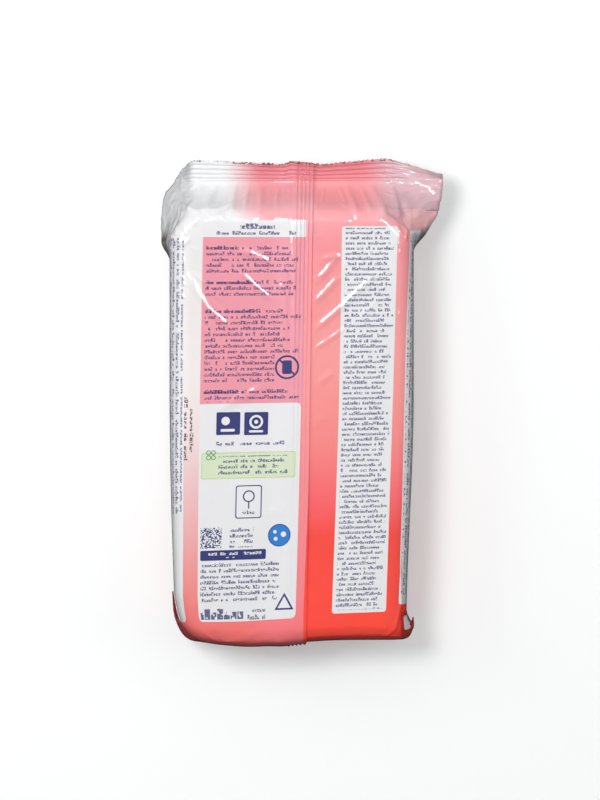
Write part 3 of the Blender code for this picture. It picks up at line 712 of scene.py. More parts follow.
cap_points = np.array([corner for face in caps for corner in face])
corners_p = np.concatenate([corners_p, print_p.ravel()[cap_points]])
corners_q = np.concatenate([corners_q, print_q.ravel()[cap_points]])
print_map = film_data.uv_layers.new(name="Print")
print_places = np.stack([corners_p, corners_q], axis=1).astype(np.float32).ravel() / 1000
print_map.uv.foreach_set("vector", print_places)

# %% Say where the crimped seals are
top_reach = np.where(places < knots[1], places, -1.0)
bottom_reach = np.where(places > knots[-2], knots[-1] - places, -1.0)
seal_reach = np.repeat(np.maximum(top_reach, bottom_reach)[:, None], count, axis=1)
seal_side = np.where(on_back > 0, 1.0, -1.0)
to_end = np.clip((HALF_WIDTH - np.abs(grid[..., 0])) / SEAL_RIB_FADE, 0, 1)
SEAM_RIB_FADE = ([-60, 0, 40, 75], [0.05, 0.2, 0.5, 1.0])
seam_fade = np.interp(v_mm, *SEAM_RIB_FADE)
rib_fade = np.where(seal_reach >= 0, to_end, seam_fade)
stored = {"seal_reach": seal_reach, "seal_side": seal_side}
stored |= {"seam_reach": seam_reach, "rib_fade": rib_fade}
for name, numbers in stored.items():
    attribute = film_data.attributes.new(name, "FLOAT", "POINT")
    attribute.data.foreach_set("value", numbers.astype(np.float32).ravel())
film_data.shade_smooth()
film = bpy.data.objects.new("film_blank", film_data)
bpy.context.scene.collection.objects.link(film)
print(len(film_data.vertices), "points,", len(film_data.polygons), "faces in the film")


# %% [markdown]
# ## One helper for nodes, and one for colours

# %% Helpers
def add(tree, kind, links=(), **settings):
    """Adds a node. Links are values, nodes or sockets, by input number or name."""
    made = tree.nodes.new(kind)
    for name, value in settings.items():
        setattr(made, name, value)
    for key, value in links.items() if isinstance(links, dict) else enumerate(links):
        if isinstance(value, bpy.types.Node):
            value = value.outputs[0]
        if isinstance(value, bpy.types.NodeSocket):
            tree.links.new(value, made.inputs[key])
        elif value is not None:
            made.inputs[key].default_value = value
    return made


def colour(code):
    """An sRGB hex colour as linear RGBA."""
    parts = [int(code[k:k + 2], 16) / 255 for k in (1, 3, 5)]
    return (*[c / 12.92 if c < 0.04045 else ((c + 0.055) / 1.055) ** 2.4 for c in parts], 1.0)


# %% [markdown]
# ## Crimped ribs
#
# The sealing jaws press four ribs along each end seal and five along the fin. A Geometry
# Nodes tree raises them as a wave of the distance from the cut edge or from the hinge, so
# the number and height of the ribs stay adjustable. The two plies of a seal move together.

# %% Geometry Nodes tree for the ribs
ribs = bpy.data.node_groups.new("crimped_ribs", "GeometryNodeTree")
ribs.interface.new_socket("Film", in_out="INPUT", socket_type="NodeSocketGeometry")
RIB_SIZES = {
    "Seal rib pitch": 0.0021,
    "Seal rib height": 0.00042,
    "Seam rib pitch": 0.0018,
    "Seam rib height": 0.00032,
}
SEAL_RIB_START = 0.0006
for name, value in RIB_SIZES.items():
    socket = ribs.interface.new_socket(name, in_out="INPUT", socket_type="NodeSocketFloat")
    socket.default_value = value
ribs.interface.new_socket("Ribbed film", in_out="OUTPUT", socket_type="NodeSocketGeometry")
entry = add(ribs, "NodeGroupInput")


def rib_wave(reach_name, pitch, height, start):
    """A wave along a stored distance, flat wherever that distance is below zero."""
    reach = add(ribs, "GeometryNodeInputNamedAttribute", {"Name": reach_name}, data_type="FLOAT")
    past_start = add(ribs, "ShaderNodeMath", [reach, start], operation="SUBTRACT")
    turns = add(ribs, "ShaderNodeMath", [past_start, pitch], operation="DIVIDE")
    angle = add(ribs, "ShaderNodeMath", [turns, 2 * math.pi], operation="MULTIPLY")
    sine = add(ribs, "ShaderNodeMath", [angle], operation="SINE")
    wave = add(ribs, "ShaderNodeMath", [sine, height], operation="MULTIPLY")
    there = add(ribs, "ShaderNodeMath", [reach, -0.5], operation="GREATER_THAN")
    return add(ribs, "ShaderNodeMath", [wave, there], operation="MULTIPLY")


rib_size = entry.outputs
seal_wave = rib_wave("seal_reach", rib_size["Seal rib pitch"], rib_size["Seal rib height"], SEAL_RIB_START)
side = add(ribs, "GeometryNodeInputNamedAttribute", {"Name": "seal_side"}, data_type="FLOAT")
seal_wave = add(ribs, "ShaderNodeMath", [seal_wave, side], operation="MULTIPLY")
seam_wave = rib_wave("seam_reach", rib_size["Seam rib pitch"], rib_size["Seam rib height"], 0.0)
both = add(ribs, "ShaderNodeMath", [seal_wave, seam_wave], operation="ADD")
fade = add(ribs, "GeometryNodeInputNamedAttribute", {"Name": "rib_fade"}, data_type="FLOAT")
both = add(ribs, "ShaderNodeMath", [both, fade], operation="MULTIPLY")
normal = add(ribs, "GeometryNodeInputNormal")
offset = add(ribs, "ShaderNodeVectorMath", {0: normal, 3: both}, operation="SCALE")
moved = add(ribs, "GeometryNodeSetPosition", {"Geometry": entry.outputs["Film"], "Offset": offset})
real = add(ribs, "GeometryNodeRealizeInstances", [moved])
finish = add(ribs, "GeometryNodeSetMaterial", {"Geometry": real})
add(ribs, "NodeGroupOutput", [finish])
print("ribs tree", len(ribs.nodes), "nodes")

# %% [markdown]
# ## Printed film
#
# The wrapper is a clear glossy film over print. Its print is fields of colour and simple
# shapes, each one a node group placed on the print coordinates: rounded fields, rings, and
# rows of small marks that stand for text without being letters. Fields are used instead
# of a picture so that every edge stays sharp at any distance.


# %% Node groups for printed shapes
def group(name, sockets):
    """A shader group with these inputs and one output."""
    made = bpy.data.node_groups.new(name, "ShaderNodeTree")
    for label, kind in sockets:
        made.interface.new_socket(label, in_out="INPUT", socket_type=kind)
    made.interface.new_socket("Mask", in_out="OUTPUT", socket_type="NodeSocketFloat")
    return made, add(made, "NodeGroupInput").outputs


def part_of(made_in, vector, axis):
    """One coordinate of a vector. A separating node would leave its others unused."""
    return add(made_in, "ShaderNodeVectorMath", [vector, axis], operation="DOT_PRODUCT").outputs["Value"]


VECTOR, FLOAT = "NodeSocketVector", "NodeSocketFloat"
ACROSS, UP = (1.0, 0.0, 0.0), (0.0, 1.0, 0.0)

EDGE = {"From Min": 0.07, "From Max": -0.07}

field, given = group(
    "rounded_field", [("Print", VECTOR), ("Centre", VECTOR), ("Half size", VECTOR), ("Radius", FLOAT)]
)
apart = add(field, "ShaderNodeVectorMath", [given["Print"], given["Centre"]], operation="SUBTRACT")
apart = add(field, "ShaderNodeVectorMath", [apart], operation="ABSOLUTE")
apart = add(field, "ShaderNodeVectorMath", [apart, given["Half size"]], operation="SUBTRACT")
radii = add(field, "ShaderNodeCombineXYZ", [given["Radius"], given["Radius"]])
apart = add(field, "ShaderNodeVectorMath", [apart, radii], operation="ADD")
beyond = add(field, "ShaderNodeVectorMath", [apart, (0, 0, 0)], operation="MAXIMUM")
beyond = add(field, "ShaderNodeVectorMath", [beyond], operation="LENGTH").outputs["Value"]
apart_across = part_of(field, apart, ACROSS)
apart_up = part_of(field, apart, UP)
within = add(field, "ShaderNodeMath", [apart_across, apart_up], operation="MAXIMUM")
within = add(field, "ShaderNodeMath", [within, 0.0], operation="MINIMUM")
away = add(field, "ShaderNodeMath", [beyond, within], operation="ADD")
away = add(field, "ShaderNodeMath", [away, given["Radius"]], operation="SUBTRACT")
mask = add(field, "ShaderNodeMapRange", {"Value": away, **EDGE})
add(field, "NodeGroupOutput", [mask])

ring, given = group(
    "ring", [("Print", VECTOR), ("Centre", VECTOR), ("Radius", FLOAT), ("Half width", FLOAT)]
)
distance = add(ring, "ShaderNodeVectorMath", [given["Print"], given["Centre"]], operation="DISTANCE")
apart = add(ring, "ShaderNodeMath", [distance.outputs["Value"], given["Radius"]], operation="SUBTRACT")
apart = add(ring, "ShaderNodeMath", [apart], operation="ABSOLUTE")
apart = add(ring, "ShaderNodeMath", [apart, given["Half width"]], operation="SUBTRACT")
mask = add(ring, "ShaderNodeMapRange", {"Value": apart, **EDGE})
add(ring, "NodeGroupOutput", [mask])

# %% Node group for rows of marks
marks, given = group(
    "rows_of_marks",
    [("Print", VECTOR)] + [(name, FLOAT) for name in ("Pitch", "Letter", "Ink", "Right edge", "Rag")],
)
cell = add(marks, "ShaderNodeCombineXYZ", [given["Letter"], given["Pitch"], 1.0])
cells = add(marks, "ShaderNodeVectorMath", [given["Print"], cell], operation="DIVIDE")
whole_cell = add(marks, "ShaderNodeVectorMath", [cells], operation="FLOOR")
inside_cell = add(marks, "ShaderNodeVectorMath", [cells], operation="FRACTION")
inside_x, inside_y = part_of(marks, inside_cell, ACROSS), part_of(marks, inside_cell, UP)
chance = add(marks, "ShaderNodeTexWhiteNoise", {"Vector": whole_cell}, noise_dimensions="2D")
chance = chance.outputs["Value"]
moved_cell = add(marks, "ShaderNodeVectorMath", [whole_cell, (71.5, 13.5, 0)], operation="ADD")
tall = add(marks, "ShaderNodeTexWhiteNoise", {"Vector": moved_cell}, noise_dimensions="2D")
low_to_tall = {"From Min": 0.70, "From Max": 0.72, "To Min": 0.62, "To Max": 0.86}
top = add(marks, "ShaderNodeMapRange", {"Value": tall.outputs["Value"], **low_to_tall})
below_top = add(marks, "ShaderNodeMath", [inside_y, top], operation="LESS_THAN")
above_base = add(marks, "ShaderNodeMath", [inside_y, 0.20], operation="GREATER_THAN")
not_gap = add(marks, "ShaderNodeMath", [chance, 0.16], operation="GREATER_THAN")
spacing = add(marks, "ShaderNodeMath", [inside_x, 0.12], operation="GREATER_THAN")
scale = add(marks, "ShaderNodeCombineXYZ", [1.9, 3.6, 1.0])
fine = add(marks, "ShaderNodeVectorMath", [cells, scale], operation="MULTIPLY")
stroke_look = {"Scale": 1.0, "Detail": 1.0, "Roughness": 0.4}
stroke = add(marks, "ShaderNodeTexNoise", {"Vector": fine, **stroke_look}, noise_dimensions="2D")
inked = add(marks, "ShaderNodeMath", [stroke, given["Ink"]], operation="GREATER_THAN")
row_at = part_of(marks, whole_cell, UP)
row_chance = add(marks, "ShaderNodeTexWhiteNoise", {"W": row_at}, noise_dimensions="1D").outputs["Value"]
rag = add(marks, "ShaderNodeMath", [row_chance, given["Rag"]], operation="MULTIPLY")
end = add(marks, "ShaderNodeMath", [given["Right edge"], rag], operation="SUBTRACT")
reached = part_of(marks, given["Print"], ACROSS)
before_end = add(marks, "ShaderNodeMath", [reached, end], operation="LESS_THAN")
mask = below_top
for other in (above_base, not_gap, spacing, inked, before_end):
    mask = add(marks, "ShaderNodeMath", [mask, other], operation="MULTIPLY")
add(marks, "NodeGroupOutput", [mask])
print("groups:", [g.name for g in (field, ring, marks)])

# %% The wrapper's material
printed = bpy.data.materials.new("printed_polypropylene_film")
printed.use_nodes = True
tree = printed.node_tree
shader = tree.nodes["Principled BSDF"]
uv = add(tree, "ShaderNodeUVMap", uv_map="Print")
at = add(tree, "ShaderNodeVectorMath", {0: uv, 3: 1000.0}, operation="SCALE")
place = add(tree, "ShaderNodeSeparateXYZ", [at])
p, q = place.outputs[0], place.outputs[1]


def ramp(value, low, high, stops):
    """Colours along a coordinate: stops are places from low to high, with their colours."""
    share = add(tree, "ShaderNodeMapRange", {"Value": value, "From Min": low, "From Max": high})
    made = add(tree, "ShaderNodeValToRGB", [share.outputs[0]])
    elements = made.color_ramp.elements
    while len(elements) < len(stops):
        elements.new(0.5)
    for element, (where, code) in zip(elements, sorted(stops)):
        element.position = (where - low) / (high - low)
        element.color = colour(code)
    return made


def between(value, low, high):
    """Rises smoothly from 0 to 1 as a value goes from low to high."""
    limits = {"From Min": low, "From Max": high}
    return add(tree, "ShaderNodeMapRange", {"Value": value, **limits}, interpolation_type="SMOOTHSTEP")


def blend(factor, under, over):
    """Puts a colour over another where the factor is 1."""
    return add(tree, "ShaderNodeMix", {0: factor, 6: under, 7: over}, data_type="RGBA").outputs[2]


def box(x0, y0, x1, y1, radius=0.0):
    """The mask of an upright rounded field, by its corners in millimetres."""
    made = add(tree, "ShaderNodeGroup", node_tree=field)
    tree.links.new(at.outputs[0], made.inputs["Print"])
    made.inputs["Centre"].default_value = ((x0 + x1) / 2, (y0 + y1) / 2, 0)
    made.inputs["Half size"].default_value = ((x1 - x0) / 2, (y1 - y0) / 2, 100)
    made.inputs["Radius"].default_value = radius
    return made.outputs[0]


def circle(x, y, radius, half_width):
    """The mask of a ring, or of a disc where the radius is 0."""
    made = add(tree, "ShaderNodeGroup", node_tree=ring)
    tree.links.new(at.outputs[0], made.inputs["Print"])
    for name, value in (("Centre", (x, y, 0)), ("Radius", radius), ("Half width", half_width)):
        made.inputs[name].default_value = value
    return made.outputs[0]


def text(vector, pitch, letter, ink, right_edge, rag):
    """Rows of marks that stand for text."""
    made = add(tree, "ShaderNodeGroup", node_tree=marks)
    tree.links.new(vector, made.inputs["Print"])
    sizes = {"Pitch": pitch, "Letter": letter, "Ink": ink, "Right edge": right_edge, "Rag": rag}
    for name, value in sizes.items():
        made.inputs[name].default_value = value
    return made.outputs[0]


def shifted(right, up):
    """The print coordinates after the print under them is moved right and up."""
    return add(tree, "ShaderNodeVectorMath", [at, (-right, -up, 0)], operation="ADD").outputs[0]


def calc(operation, *values):
    """Combines masks or numbers, two at a time."""
    result = values[0]
    for value in values[1:]:
        result = add(tree, "ShaderNodeMath", [result, value], operation=operation).outputs[0]
    return result


def union(masks):
    """The highest of several masks, each taken in as it is made."""
    masks = iter(masks)
    result = next(masks)
    for mask in masks:
        result = calc("MAXIMUM", result, mask)
    return result


def size_of(value):
    """A number without its sign."""
    return add(tree, "ShaderNodeMath", [value], operation="ABSOLUTE").outputs[0]


def bar(x, y, radius, half_width):
    """The mask of a slanting bar across a disc."""
    off = calc("ADD", calc("SUBTRACT", p, x), calc("SUBTRACT", q, y))
    return calc("MULTIPLY", calc("LESS_THAN", size_of(off), half_width * 1.414), circle(x, y, 0.0, radius))


def triangle(x, y, inner, half_width):
    """The mask of the outline of an upright triangle, by the radius of its inner circle."""
    aside = size_of(calc("SUBTRACT", p, x))
    up = calc("SUBTRACT", q, y)
    slanted = calc("ADD", calc("MULTIPLY", aside, 0.866), calc("MULTIPLY", up, 0.5))
    out = calc("MAXIMUM", calc("MULTIPLY", up, -1.0), slanted)
    return calc("LESS_THAN", size_of(calc("SUBTRACT", out, inner)), half_width)


# %% Ground colours, from white at the top to coral at the bottom
WHITE = colour("#e4e4e6")
NAVY = colour("#2c3170")
margin = ramp(q, -100, 110, [
    (100, "#e6e7e9"), (75, "#e6e3e3"), (20, "#ece4e2"), (-7, "#ebd8d7"),
    (-21, "#e9c5c7"), (-62, "#e99897"), (-94, "#f06c69"),
])
middle = ramp(q, -100, 132, [
    (128, "#d87d87"), (120, "#e4929a"), (100, "#f3b1b7"), (88, "#f29ba2"), (78, "#f8989f"),
    (10, "#f59497"), (-35, "#f18a8d"), (-80, "#f4808a"), (-95, "#f67478"),
])
right_side = ramp(q, -100, 132, [
    (128, "#dc7f88"), (119, "#ee999e"), (96, "#f6a4a9"), (78, "#f29197"), (29, "#f49a98"),
    (-7, "#f58987"), (-35, "#f8646a"), (-52, "#f54438"), (-94, "#ff4535"),
])
earlier = calc("MULTIPLY", between(q, 86, 100), 11.0)
left_side = blend(between(calc("ADD", p, earlier), -22, -2), margin, middle)
seam_line = {"From Min": 119, "From Max": -110, "To Min": 11.6, "To Max": 9.0}
seam_edge = add(tree, "ShaderNodeMapRange", {"Value": q, **seam_line}).outputs[0]
ground = blend(calc("GREATER_THAN", p, seam_edge), left_side, right_side)
pale = calc("MULTIPLY", between(p, 30, 50), between(q, 84, 100))
ground = blend(pale, ground, colour("#dab3bb"))
# The lower right ear below the pleat is pale film, painted lighter still here as painted light, because it
# faces down into shade.
ground = blend(calc("MULTIPLY", box(53.0, 86.8, 76.0, 97.5, 1.5), 0.8), ground, colour("#fcc3c8"))

front = ramp(q, -100, 132, [(110, "#edbcc1"), (60, "#f0a2a7"), (-20, "#f1787b"), (-94, "#f2504a")])
ground = blend(between(size_of(p), 84, 106), ground, front)

# %% White panels and the tinted text box
for corners in (
    (-40.0, 60.0, 6.6, 91.9), (-40.0, -88.3, 5.6, 9.0, 2.2), (22.8, -87.4, 48.0, 89.2, 1.2),
    (-65.0, -88.5, -49.0, 87.0, 2.0), (54.5, -84.5, 66.0, 87.0, 1.2), (60.0, 79.5, 84.0, 87.0, 0.8),
):
    ground = blend(box(*corners), ground, WHITE)
ground = blend(box(-40.0, 9.0, 6.6, 84.2), ground, colour("#e996a3"))

# %% [markdown]
# Each symbol and text is laid over the ground as soon as it is made. Taken one at a time
# they leave the renderer few numbers to remember, and a film shader of this size needs that.

# %% Small printed shapes: what draws each one, its numbers in millimetres, and its colour
GREEN, LEAF, BLUE, DEEP_BLUE = colour("#d4dfc2"), colour("#4f9a4a"), colour("#1f78c8"), colour("#174f9c")
SYMBOLS = [
    (box, (-38.8, -24.9, 3.8, -13.0, 0.8), colour("#b8d28c")),
    (box, (-38.4, -24.5, 3.4, -13.4, 0.6), GREEN),
    (circle, (-35.6, -13.0, 0.9, 0.2), LEAF), (circle, (-33.4, -13.0, 0.9, 0.2), LEAF),
    (circle, (-35.6, -15.2, 0.9, 0.2), LEAF), (circle, (-33.4, -15.2, 0.9, 0.2), LEAF),
    (circle, (-1.0, 25.1, 5.0, 0.45), NAVY), (box, (-3.2, 22.0, 1.2, 28.2, 0.8), NAVY),
    (bar, (-1.0, 25.1, 5.2, 0.42), NAVY),
    (box, (-32.4, -5.1, -21.6, 5.2, 0.6), NAVY), (circle, (-28.2, 1.2, 1.0, 0.9), WHITE),
    (box, (-30.4, -3.6, -24.0, -2.4, 0.5), WHITE), (box, (-19.8, -5.4, -9.0, 5.0, 0.6), NAVY),
    (circle, (-14.4, 0.6, 2.6, 0.5), WHITE), (circle, (-14.4, 0.6, 0.0, 0.9), WHITE),
    (box, (-17.6, -4.2, -11.2, -3.2, 0.4), WHITE), (box, (-38.7, -61.6, -8.7, -57.0, 0.7), NAVY),
    (box, (-23.0, -43.0, -11.1, -28.0, 1.2), NAVY), (box, (-22.5, -42.5, -11.6, -28.5, 0.9), WHITE),
    (circle, (-17.0, -33.0, 2.4, 0.3), NAVY), (box, (-17.3, -38.6, -16.7, -35.4), NAVY),
    (triangle, (0.2, -82.2, 2.15, 0.4), NAVY), (circle, (-2.8, -51.0, 0.0, 5.1), BLUE),
    (circle, (-2.8, -51.0, 4.9, 0.25), DEEP_BLUE), (circle, (-4.8, -49.4, 0.0, 0.8), WHITE),
    (circle, (-4.4, -52.6, 0.0, 0.9), WHITE), (circle, (-0.9, -50.6, 0.0, 1.2), WHITE),
]
for shape, numbers, paint in SYMBOLS:
    ground = blend(shape(*numbers), ground, paint)
blocks = add(tree, "ShaderNodeVectorMath", {0: at, 3: 2.4}, operation="SCALE")
blocks = add(tree, "ShaderNodeVectorMath", [blocks], operation="FLOOR")
blocks = add(tree, "ShaderNodeTexWhiteNoise", {"Vector": blocks}, noise_dimensions="2D").outputs["Value"]
square = box(-38.7, -56.1, -29.0, -46.8)
dark_block = calc("GREATER_THAN", blocks, 0.48)
ground = blend(calc("MULTIPLY", square, dark_block), ground, colour("#27336f"))
print(len(SYMBOLS), "symbols")

# %% Rows of marks: pitch, letter, ink, right edge and rag, the ink's colour, then the fields
plain = at.outputs[0]
turned = add(tree, "ShaderNodeCombineXYZ", [calc("MULTIPLY", q, -1.0), p, 0.0]).outputs[0]
DARK_INK = colour("#1d1b1e")
TEXTS = [
    (plain, (2.6, 1.12, 0.43, 5.0, 10.0), NAVY, [
        (-38.4, 67.6, 9, 80.6), (-38.4, 57.2, 9, 65.0), (-38.4, 18.2, -6.6, 52.0), (-6.6, 31.2, 9, 52.0),
        (-38.4, 9.6, 9, 15.6), (-38.6, -80.6, -2.6, -62.4), (-16.7, -88.0, -8.5, -84.0),
        (-31.0, -23.4, 2.4, -14.6), (-19.8, -41.6, -14.2, -39.0),
    ]),
    (plain, (2.6, 1.35, 0.40, 60.0, 0.0), NAVY, [
        (-38.4, 78.0, -26, 80.6), (-38.4, 62.4, -18, 65.0), (-38.4, 49.4, -16, 52.0),
        (-38.4, 13.0, -20, 15.6), (-32.3, -9.9, -1.5, -7.4), (-25.4, -56.0, -14.4, -46.8),
    ]),
    (plain, (2.36, 1.02, 0.42, 47.0, 5.0), NAVY, [(24.4, -86.0, 47.4, 88.4)]),
    (shifted(0.0, 1.3), (3.9, 1.9, 0.41, 60.0, 0.0), NAVY, [(-23.4, 87.4, -7.6, 91.0)]),
    (shifted(0.0, 1.5), (2.6, 1.35, 0.41, 60.0, 0.0), NAVY, [(-34.0, 84.9, 2.0, 87.2)]),
    (shifted(0.0, 2.2), (6.5, 3.1, 0.40, 60.0, 0.0), NAVY, [(-38.8, -88.2, -18.4, -82.8)]),
    (turned, (2.7, 1.15, 0.44, 84.0, 4.0), NAVY, [(-64.0, -40.0, -49.8, 84.0), (55.4, -80.0, 65.0, 84.0)]),
    (plain, (2.6, 1.35, 0.40, 60.0, 0.0), WHITE, [(-35.0, -60.6, -10.6, -58.0)]),
    (turned, (3.3, 1.9, 0.44, 60.0, 0.0), DARK_INK, [
        (-49.4, -16.1, -46.3, 12.4), (-46.1, -12.5, -43.0, 7.0),
    ]),
]
for vector, numbers, paint, fields in TEXTS:
    filled = union(box(*corners) for corners in fields)
    ground = blend(calc("MULTIPLY", filled, text(vector, *numbers), 0.88), ground, paint)
print(len(TEXTS), "kinds of text")

# %% The dark edge of the front's print, which shows beside the ears, painted shade along the bottom end, and the cut edge
mottle = add(tree, "ShaderNodeTexNoise", {"Vector": at, "Scale": 0.45, "Detail": 3.0, "Roughness": 0.6})
brown = ramp(mottle.outputs[0], 0.0, 1.0, [(0.3, "#3b312c"), (0.5, "#71655b"), (0.62, "#b7ada2")])
far = calc("MULTIPLY", between(size_of(p), 65.5, 69.5), between(size_of(p), 92, 82))
dark = calc("MULTIPLY", far, between(q, 64, 74), calc("SUBTRACT", 1.0, between(q, 85, 90)))
ground = blend(calc("MULTIPLY", dark, 0.9), ground, brown)
ground = blend(calc("MULTIPLY", box(59.5, 71.5, 76.0, 77.5, 2.0), 0.9), ground, brown)
painted_shade_maroon = colour("#7d2024")
ground = blend(calc("MULTIPLY", box(56.0, -102.0, 74.0, -88.0, 2.0), 0.75), ground, colour("#b9252b"))
ground = blend(box(58.5, -96.5, 64.0, -90.0, 1.4), ground, WHITE)
# Painted shade: the film's under edge and the folded bottom seal are painted dark maroon over the coral
# print, where the bottom end turns away from the light.
ground = blend(between(q, -107, -113), ground, painted_shade_maroon)
worn = calc("MULTIPLY", union([box(-27, 90, 1, 150), box(11, 90, 19, 150)]), 0.14)
torn = calc("GREATER_THAN", calc("ADD", mottle.outputs[0], worn), 0.56)
cut = calc("MULTIPLY", calc("GREATER_THAN", q, float(v_mm[0, 0]) - 0.9), torn)
ground = blend(calc("MULTIPLY", cut, 0.8), ground, colour("#6d2f32"))

# %% Gloss, and the fine crinkle of thin film
tree.links.new(ground, shader.inputs["Base Color"])
shader.inputs["Specular IOR Level"].default_value = 0.25
shader.inputs["Coat Weight"].default_value = 0.9
shader.inputs["Coat Roughness"].default_value = 0.07
shader.inputs["Coat IOR"].default_value = 1.5
object_place = add(tree, "ShaderNodeTexCoord").outputs["Object"]
WEAR_PATCHES = 35.0  # a metre, so about 29 mm each
SOFT_CRUMPLES = 60.0  # about 17 mm each
FINE_CRUMPLES = 260.0  # about 4 mm each
wear = add(tree, "ShaderNodeTexNoise", {"Vector": object_place, "Scale": WEAR_PATCHES, "Detail": 3.0})
smooth_to_worn = {"From Min": 0.3, "From Max": 0.7, "To Min": 0.30, "To Max": 0.42}
roughness = add(tree, "ShaderNodeMapRange", {"Value": wear.outputs[0], **smooth_to_worn})
tree.links.new(roughness.outputs[0], shader.inputs["Roughness"])
soft = {"Scale": SOFT_CRUMPLES, "Detail": 2.0, "Distortion": 0.8}
soft = add(tree, "ShaderNodeTexNoise", {"Vector": object_place, **soft}).outputs[0]
fine = {"Scale": FINE_CRUMPLES, "Detail": 2.0, "Distortion": 0.5}
fine = add(tree, "ShaderNodeTexNoise", {"Vector": object_place, **fine}).outputs[0]
bump = add(tree, "ShaderNodeBump", {"Height": soft, "Strength": 0.25, "Distance": 0.0012})
bump = add(tree, "ShaderNodeBump", {"Height": fine, "Strength": 0.10, "Distance": 0.0003, "Normal": bump})
tree.links.new(bump.outputs[0], shader.inputs["Normal"])
tree.links.new(bump.outputs[0], shader.inputs["Coat Normal"])
print("film material", len(tree.nodes), "nodes")

# %% Press the ribs and keep the film as a plain mesh
finish.inputs["Material"].default_value = printed
modifier = film.modifiers.new("ribs", "NODES")
modifier.node_group = ribs
for item in ribs.interface.items_tree:
    if item.in_out == "INPUT" and item.socket_type == "NodeSocketFloat":
        modifier[item.identifier] = item.default_value
bpy.context.view_layer.update()
evaluated = film.evaluated_get(bpy.context.evaluated_depsgraph_get())
ribbed = bpy.data.meshes.new_from_object(evaluated)
ribbed.name = "wrapper_film"
bpy.data.objects.remove(film)
wrapper = bpy.data.objects.new("wrapper_film", ribbed)
bpy.context.scene.collection.objects.link(wrapper)
wrapper.data.materials.clear()
wrapper.data.materials.append(printed)
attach(wrapper, "root")
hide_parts("film_pack")
print("wrapper", len(wrapper.data.polygons), "faces, UV maps", wrapper.data.uv_layers.keys())

# %% [markdown]
# ## The peelable closure
#
# It lies between the pack and the table. It stays as the CAD solid, with a label film's
# own finish: smoother than the wrapper, and a little paler where its tab isn't glued.

# %% Closure material
closure = bpy.data.materials.new("peelable_label_film")
closure.use_nodes = True
label = closure.node_tree
gloss = label.nodes["Principled BSDF"]
where = add(label, "ShaderNodeTexCoord").outputs["Object"]
y = add(label, "ShaderNodeSeparateXYZ", [where]).outputs[1]
tab = add(label, "ShaderNodeMapRange", {"Value": y, "From Min": -0.060, "From Max": -0.056})
tints = {6: colour("#f3d9da"), 7: colour("#f0c2c4")}
tint = add(label, "ShaderNodeMix", {0: tab.outputs[0], **tints}, data_type="RGBA")
label.links.new(tint.outputs[2], gloss.inputs["Base Color"])
grain = add(label, "ShaderNodeTexNoise", {"Vector": where, "Scale": 180.0, "Detail": 2.0})
grain = grain.outputs[0]
grain_roughness = add(label, "ShaderNodeMapRange", {"Value": grain, "To Min": 0.18, "To Max": 0.32})
label.links.new(grain_roughness.outputs[0], gloss.inputs["Roughness"])
grain_bump = add(label, "ShaderNodeBump", {"Height": grain, "Strength": 0.15, "Distance": 0.0002})
label.links.new(grain_bump.outputs[0], gloss.inputs["Normal"])
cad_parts["peel_closure"].material_slots[0].material = closure

# %% [markdown]
# ## Floor, light and camera
#
# The photograph is a cut-out on white with a soft shadow to the right and below, so the
# floor is white and the main lamp stands at the upper left. Long soft boxes beyond the top
# of the pack give the thin bright lines on the ridges. The camera is far off with a long
# lens, because the sides of the pack don't show.

# %% Floor
floor_mesh = bpy.data.meshes.new("floor")
FLOOR_HALF = 4.0
FLOOR_Z = -0.0002
edges = ((-1, -1), (1, -1), (1, 1), (-1, 1))
floor_mesh.from_pydata([(x * FLOOR_HALF, y * FLOOR_HALF, FLOOR_Z) for x, y in edges], [], [(0, 1, 2, 3)])
floor = bpy.data.objects.new("floor", floor_mesh)
bpy.context.scene.collection.objects.link(floor)
paper = bpy.data.materials.new("white_paper_floor")
paper.use_nodes = True
sheet = paper.node_tree.nodes["Principled BSDF"]
sheet.inputs["Base Color"].default_value = (0.925, 0.945, 0.945, 1.0)
sheet.inputs["Roughness"].default_value = 0.9
sheet.inputs["Specular IOR Level"].default_value = 0.1
sheet.inputs["Emission Color"].default_value = (1.0, 1.0, 1.0, 1.0)
sheet.inputs["Emission Strength"].default_value = 0.08
floor_mesh.materials.append(paper)
floor.visible_glossy = False
floor.visible_diffuse = False
print("floor", 2 * FLOOR_HALF, "m wide")


# %% Lights
def soft_box(name, place, size, power, diffuse=True, gloss=True, shadow=True):
    """A rectangular lamp that faces the pack, and may leave out a response or its shadow."""
    lamp = bpy.data.lights.new(name, "AREA")
    lamp.shape = "RECTANGLE"
    lamp.size, lamp.size_y = size
    lamp.energy = power
    lamp.use_shadow = shadow
    made = bpy.data.objects.new(name, lamp)
    made.location = place
    made.visible_diffuse = diffuse
    made.visible_glossy = gloss
    made.rotation_euler = (Vector((0.0, 0.03, 0.03)) - Vector(place)).to_track_quat("-Z", "Y").to_euler()
    bpy.context.scene.collection.objects.link(made)


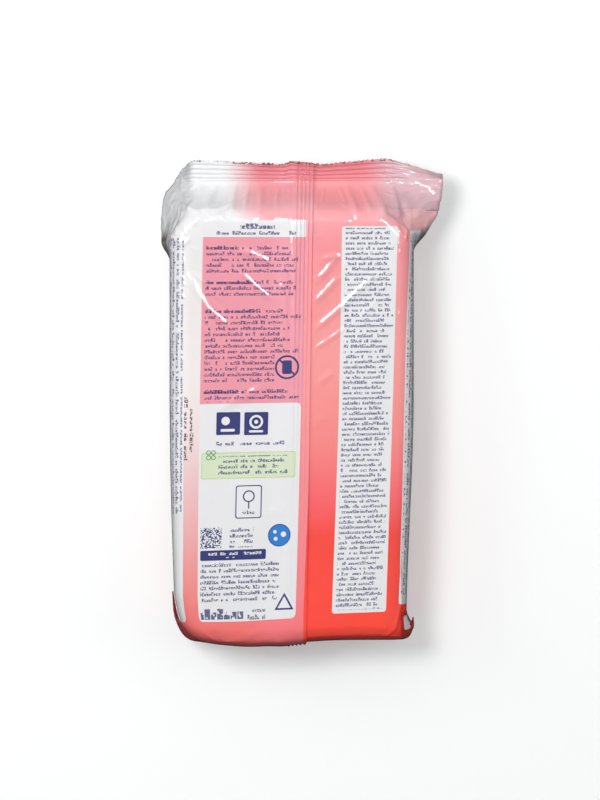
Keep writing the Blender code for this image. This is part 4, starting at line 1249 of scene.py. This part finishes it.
soft_box("key_upper_left", (-0.36, 0.21, 1.27), (0.34, 0.34), 6.8, gloss=False)
soft_box("fill_top", (-0.10, 1.10, 0.72), (1.00, 0.60), 5.8, gloss=False, shadow=False)
soft_box("fill_left", (-1.10, 0.35, 0.60), (0.60, 1.00), 4.8, gloss=False, shadow=False)
soft_box("fill_right", (1.10, 0.10, 0.60), (0.60, 1.00), 3.0, gloss=False, shadow=False)
soft_box("crease_light_left", (-0.47, 0.48, 1.13), (0.80, 0.24), 11.6, diffuse=False)
soft_box("crease_light_right", (0.48, 0.49, 1.13), (0.74, 0.20), 10.0, diffuse=False)
world = bpy.data.worlds.new("studio")
bpy.context.scene.world = world
world.use_nodes = True
sky = world.node_tree
height = add(sky, "ShaderNodeSeparateXYZ", [add(sky, "ShaderNodeTexCoord").outputs["Generated"]]).outputs[2]
above = add(sky, "ShaderNodeMapRange", {"Value": height, "From Min": -0.05, "From Max": 0.15})
greys = {6: (0.12, 0.12, 0.12, 1.0), 7: (1.0, 1.0, 1.0, 1.0)}
shade = add(sky, "ShaderNodeMix", {0: above.outputs[0], **greys}, data_type="RGBA")
sky.links.new(shade.outputs[2], sky.nodes["Background"].inputs["Color"])
sky.nodes["Background"].inputs["Strength"].default_value = 0.33
print("lamps", [lamp.name for lamp in bpy.data.lights])

# %% Camera
MM_PER_PIXEL = 0.452
CAMERA_DISTANCE = 2.5
centre_x = (300 - 291.5) * MM_PER_PIXEL / 1000
centre_y = (119 - (400 - 160) * MM_PER_PIXEL) / 1000
lens = bpy.data.cameras.new("camera")
lens.sensor_fit = "AUTO"
lens.sensor_width = 36.0
lens.lens = 36.0 * CAMERA_DISTANCE / (800 * MM_PER_PIXEL / 1000)
lens.clip_end = 20.0
camera = bpy.data.objects.new("camera", lens)
camera.location = (centre_x, centre_y, BACK_FACE + CAMERA_DISTANCE)
bpy.context.scene.collection.objects.link(camera)
bpy.context.scene.camera = camera
bpy.context.scene.view_settings.view_transform = "Standard"
print("lens", round(lens.lens), "mm")
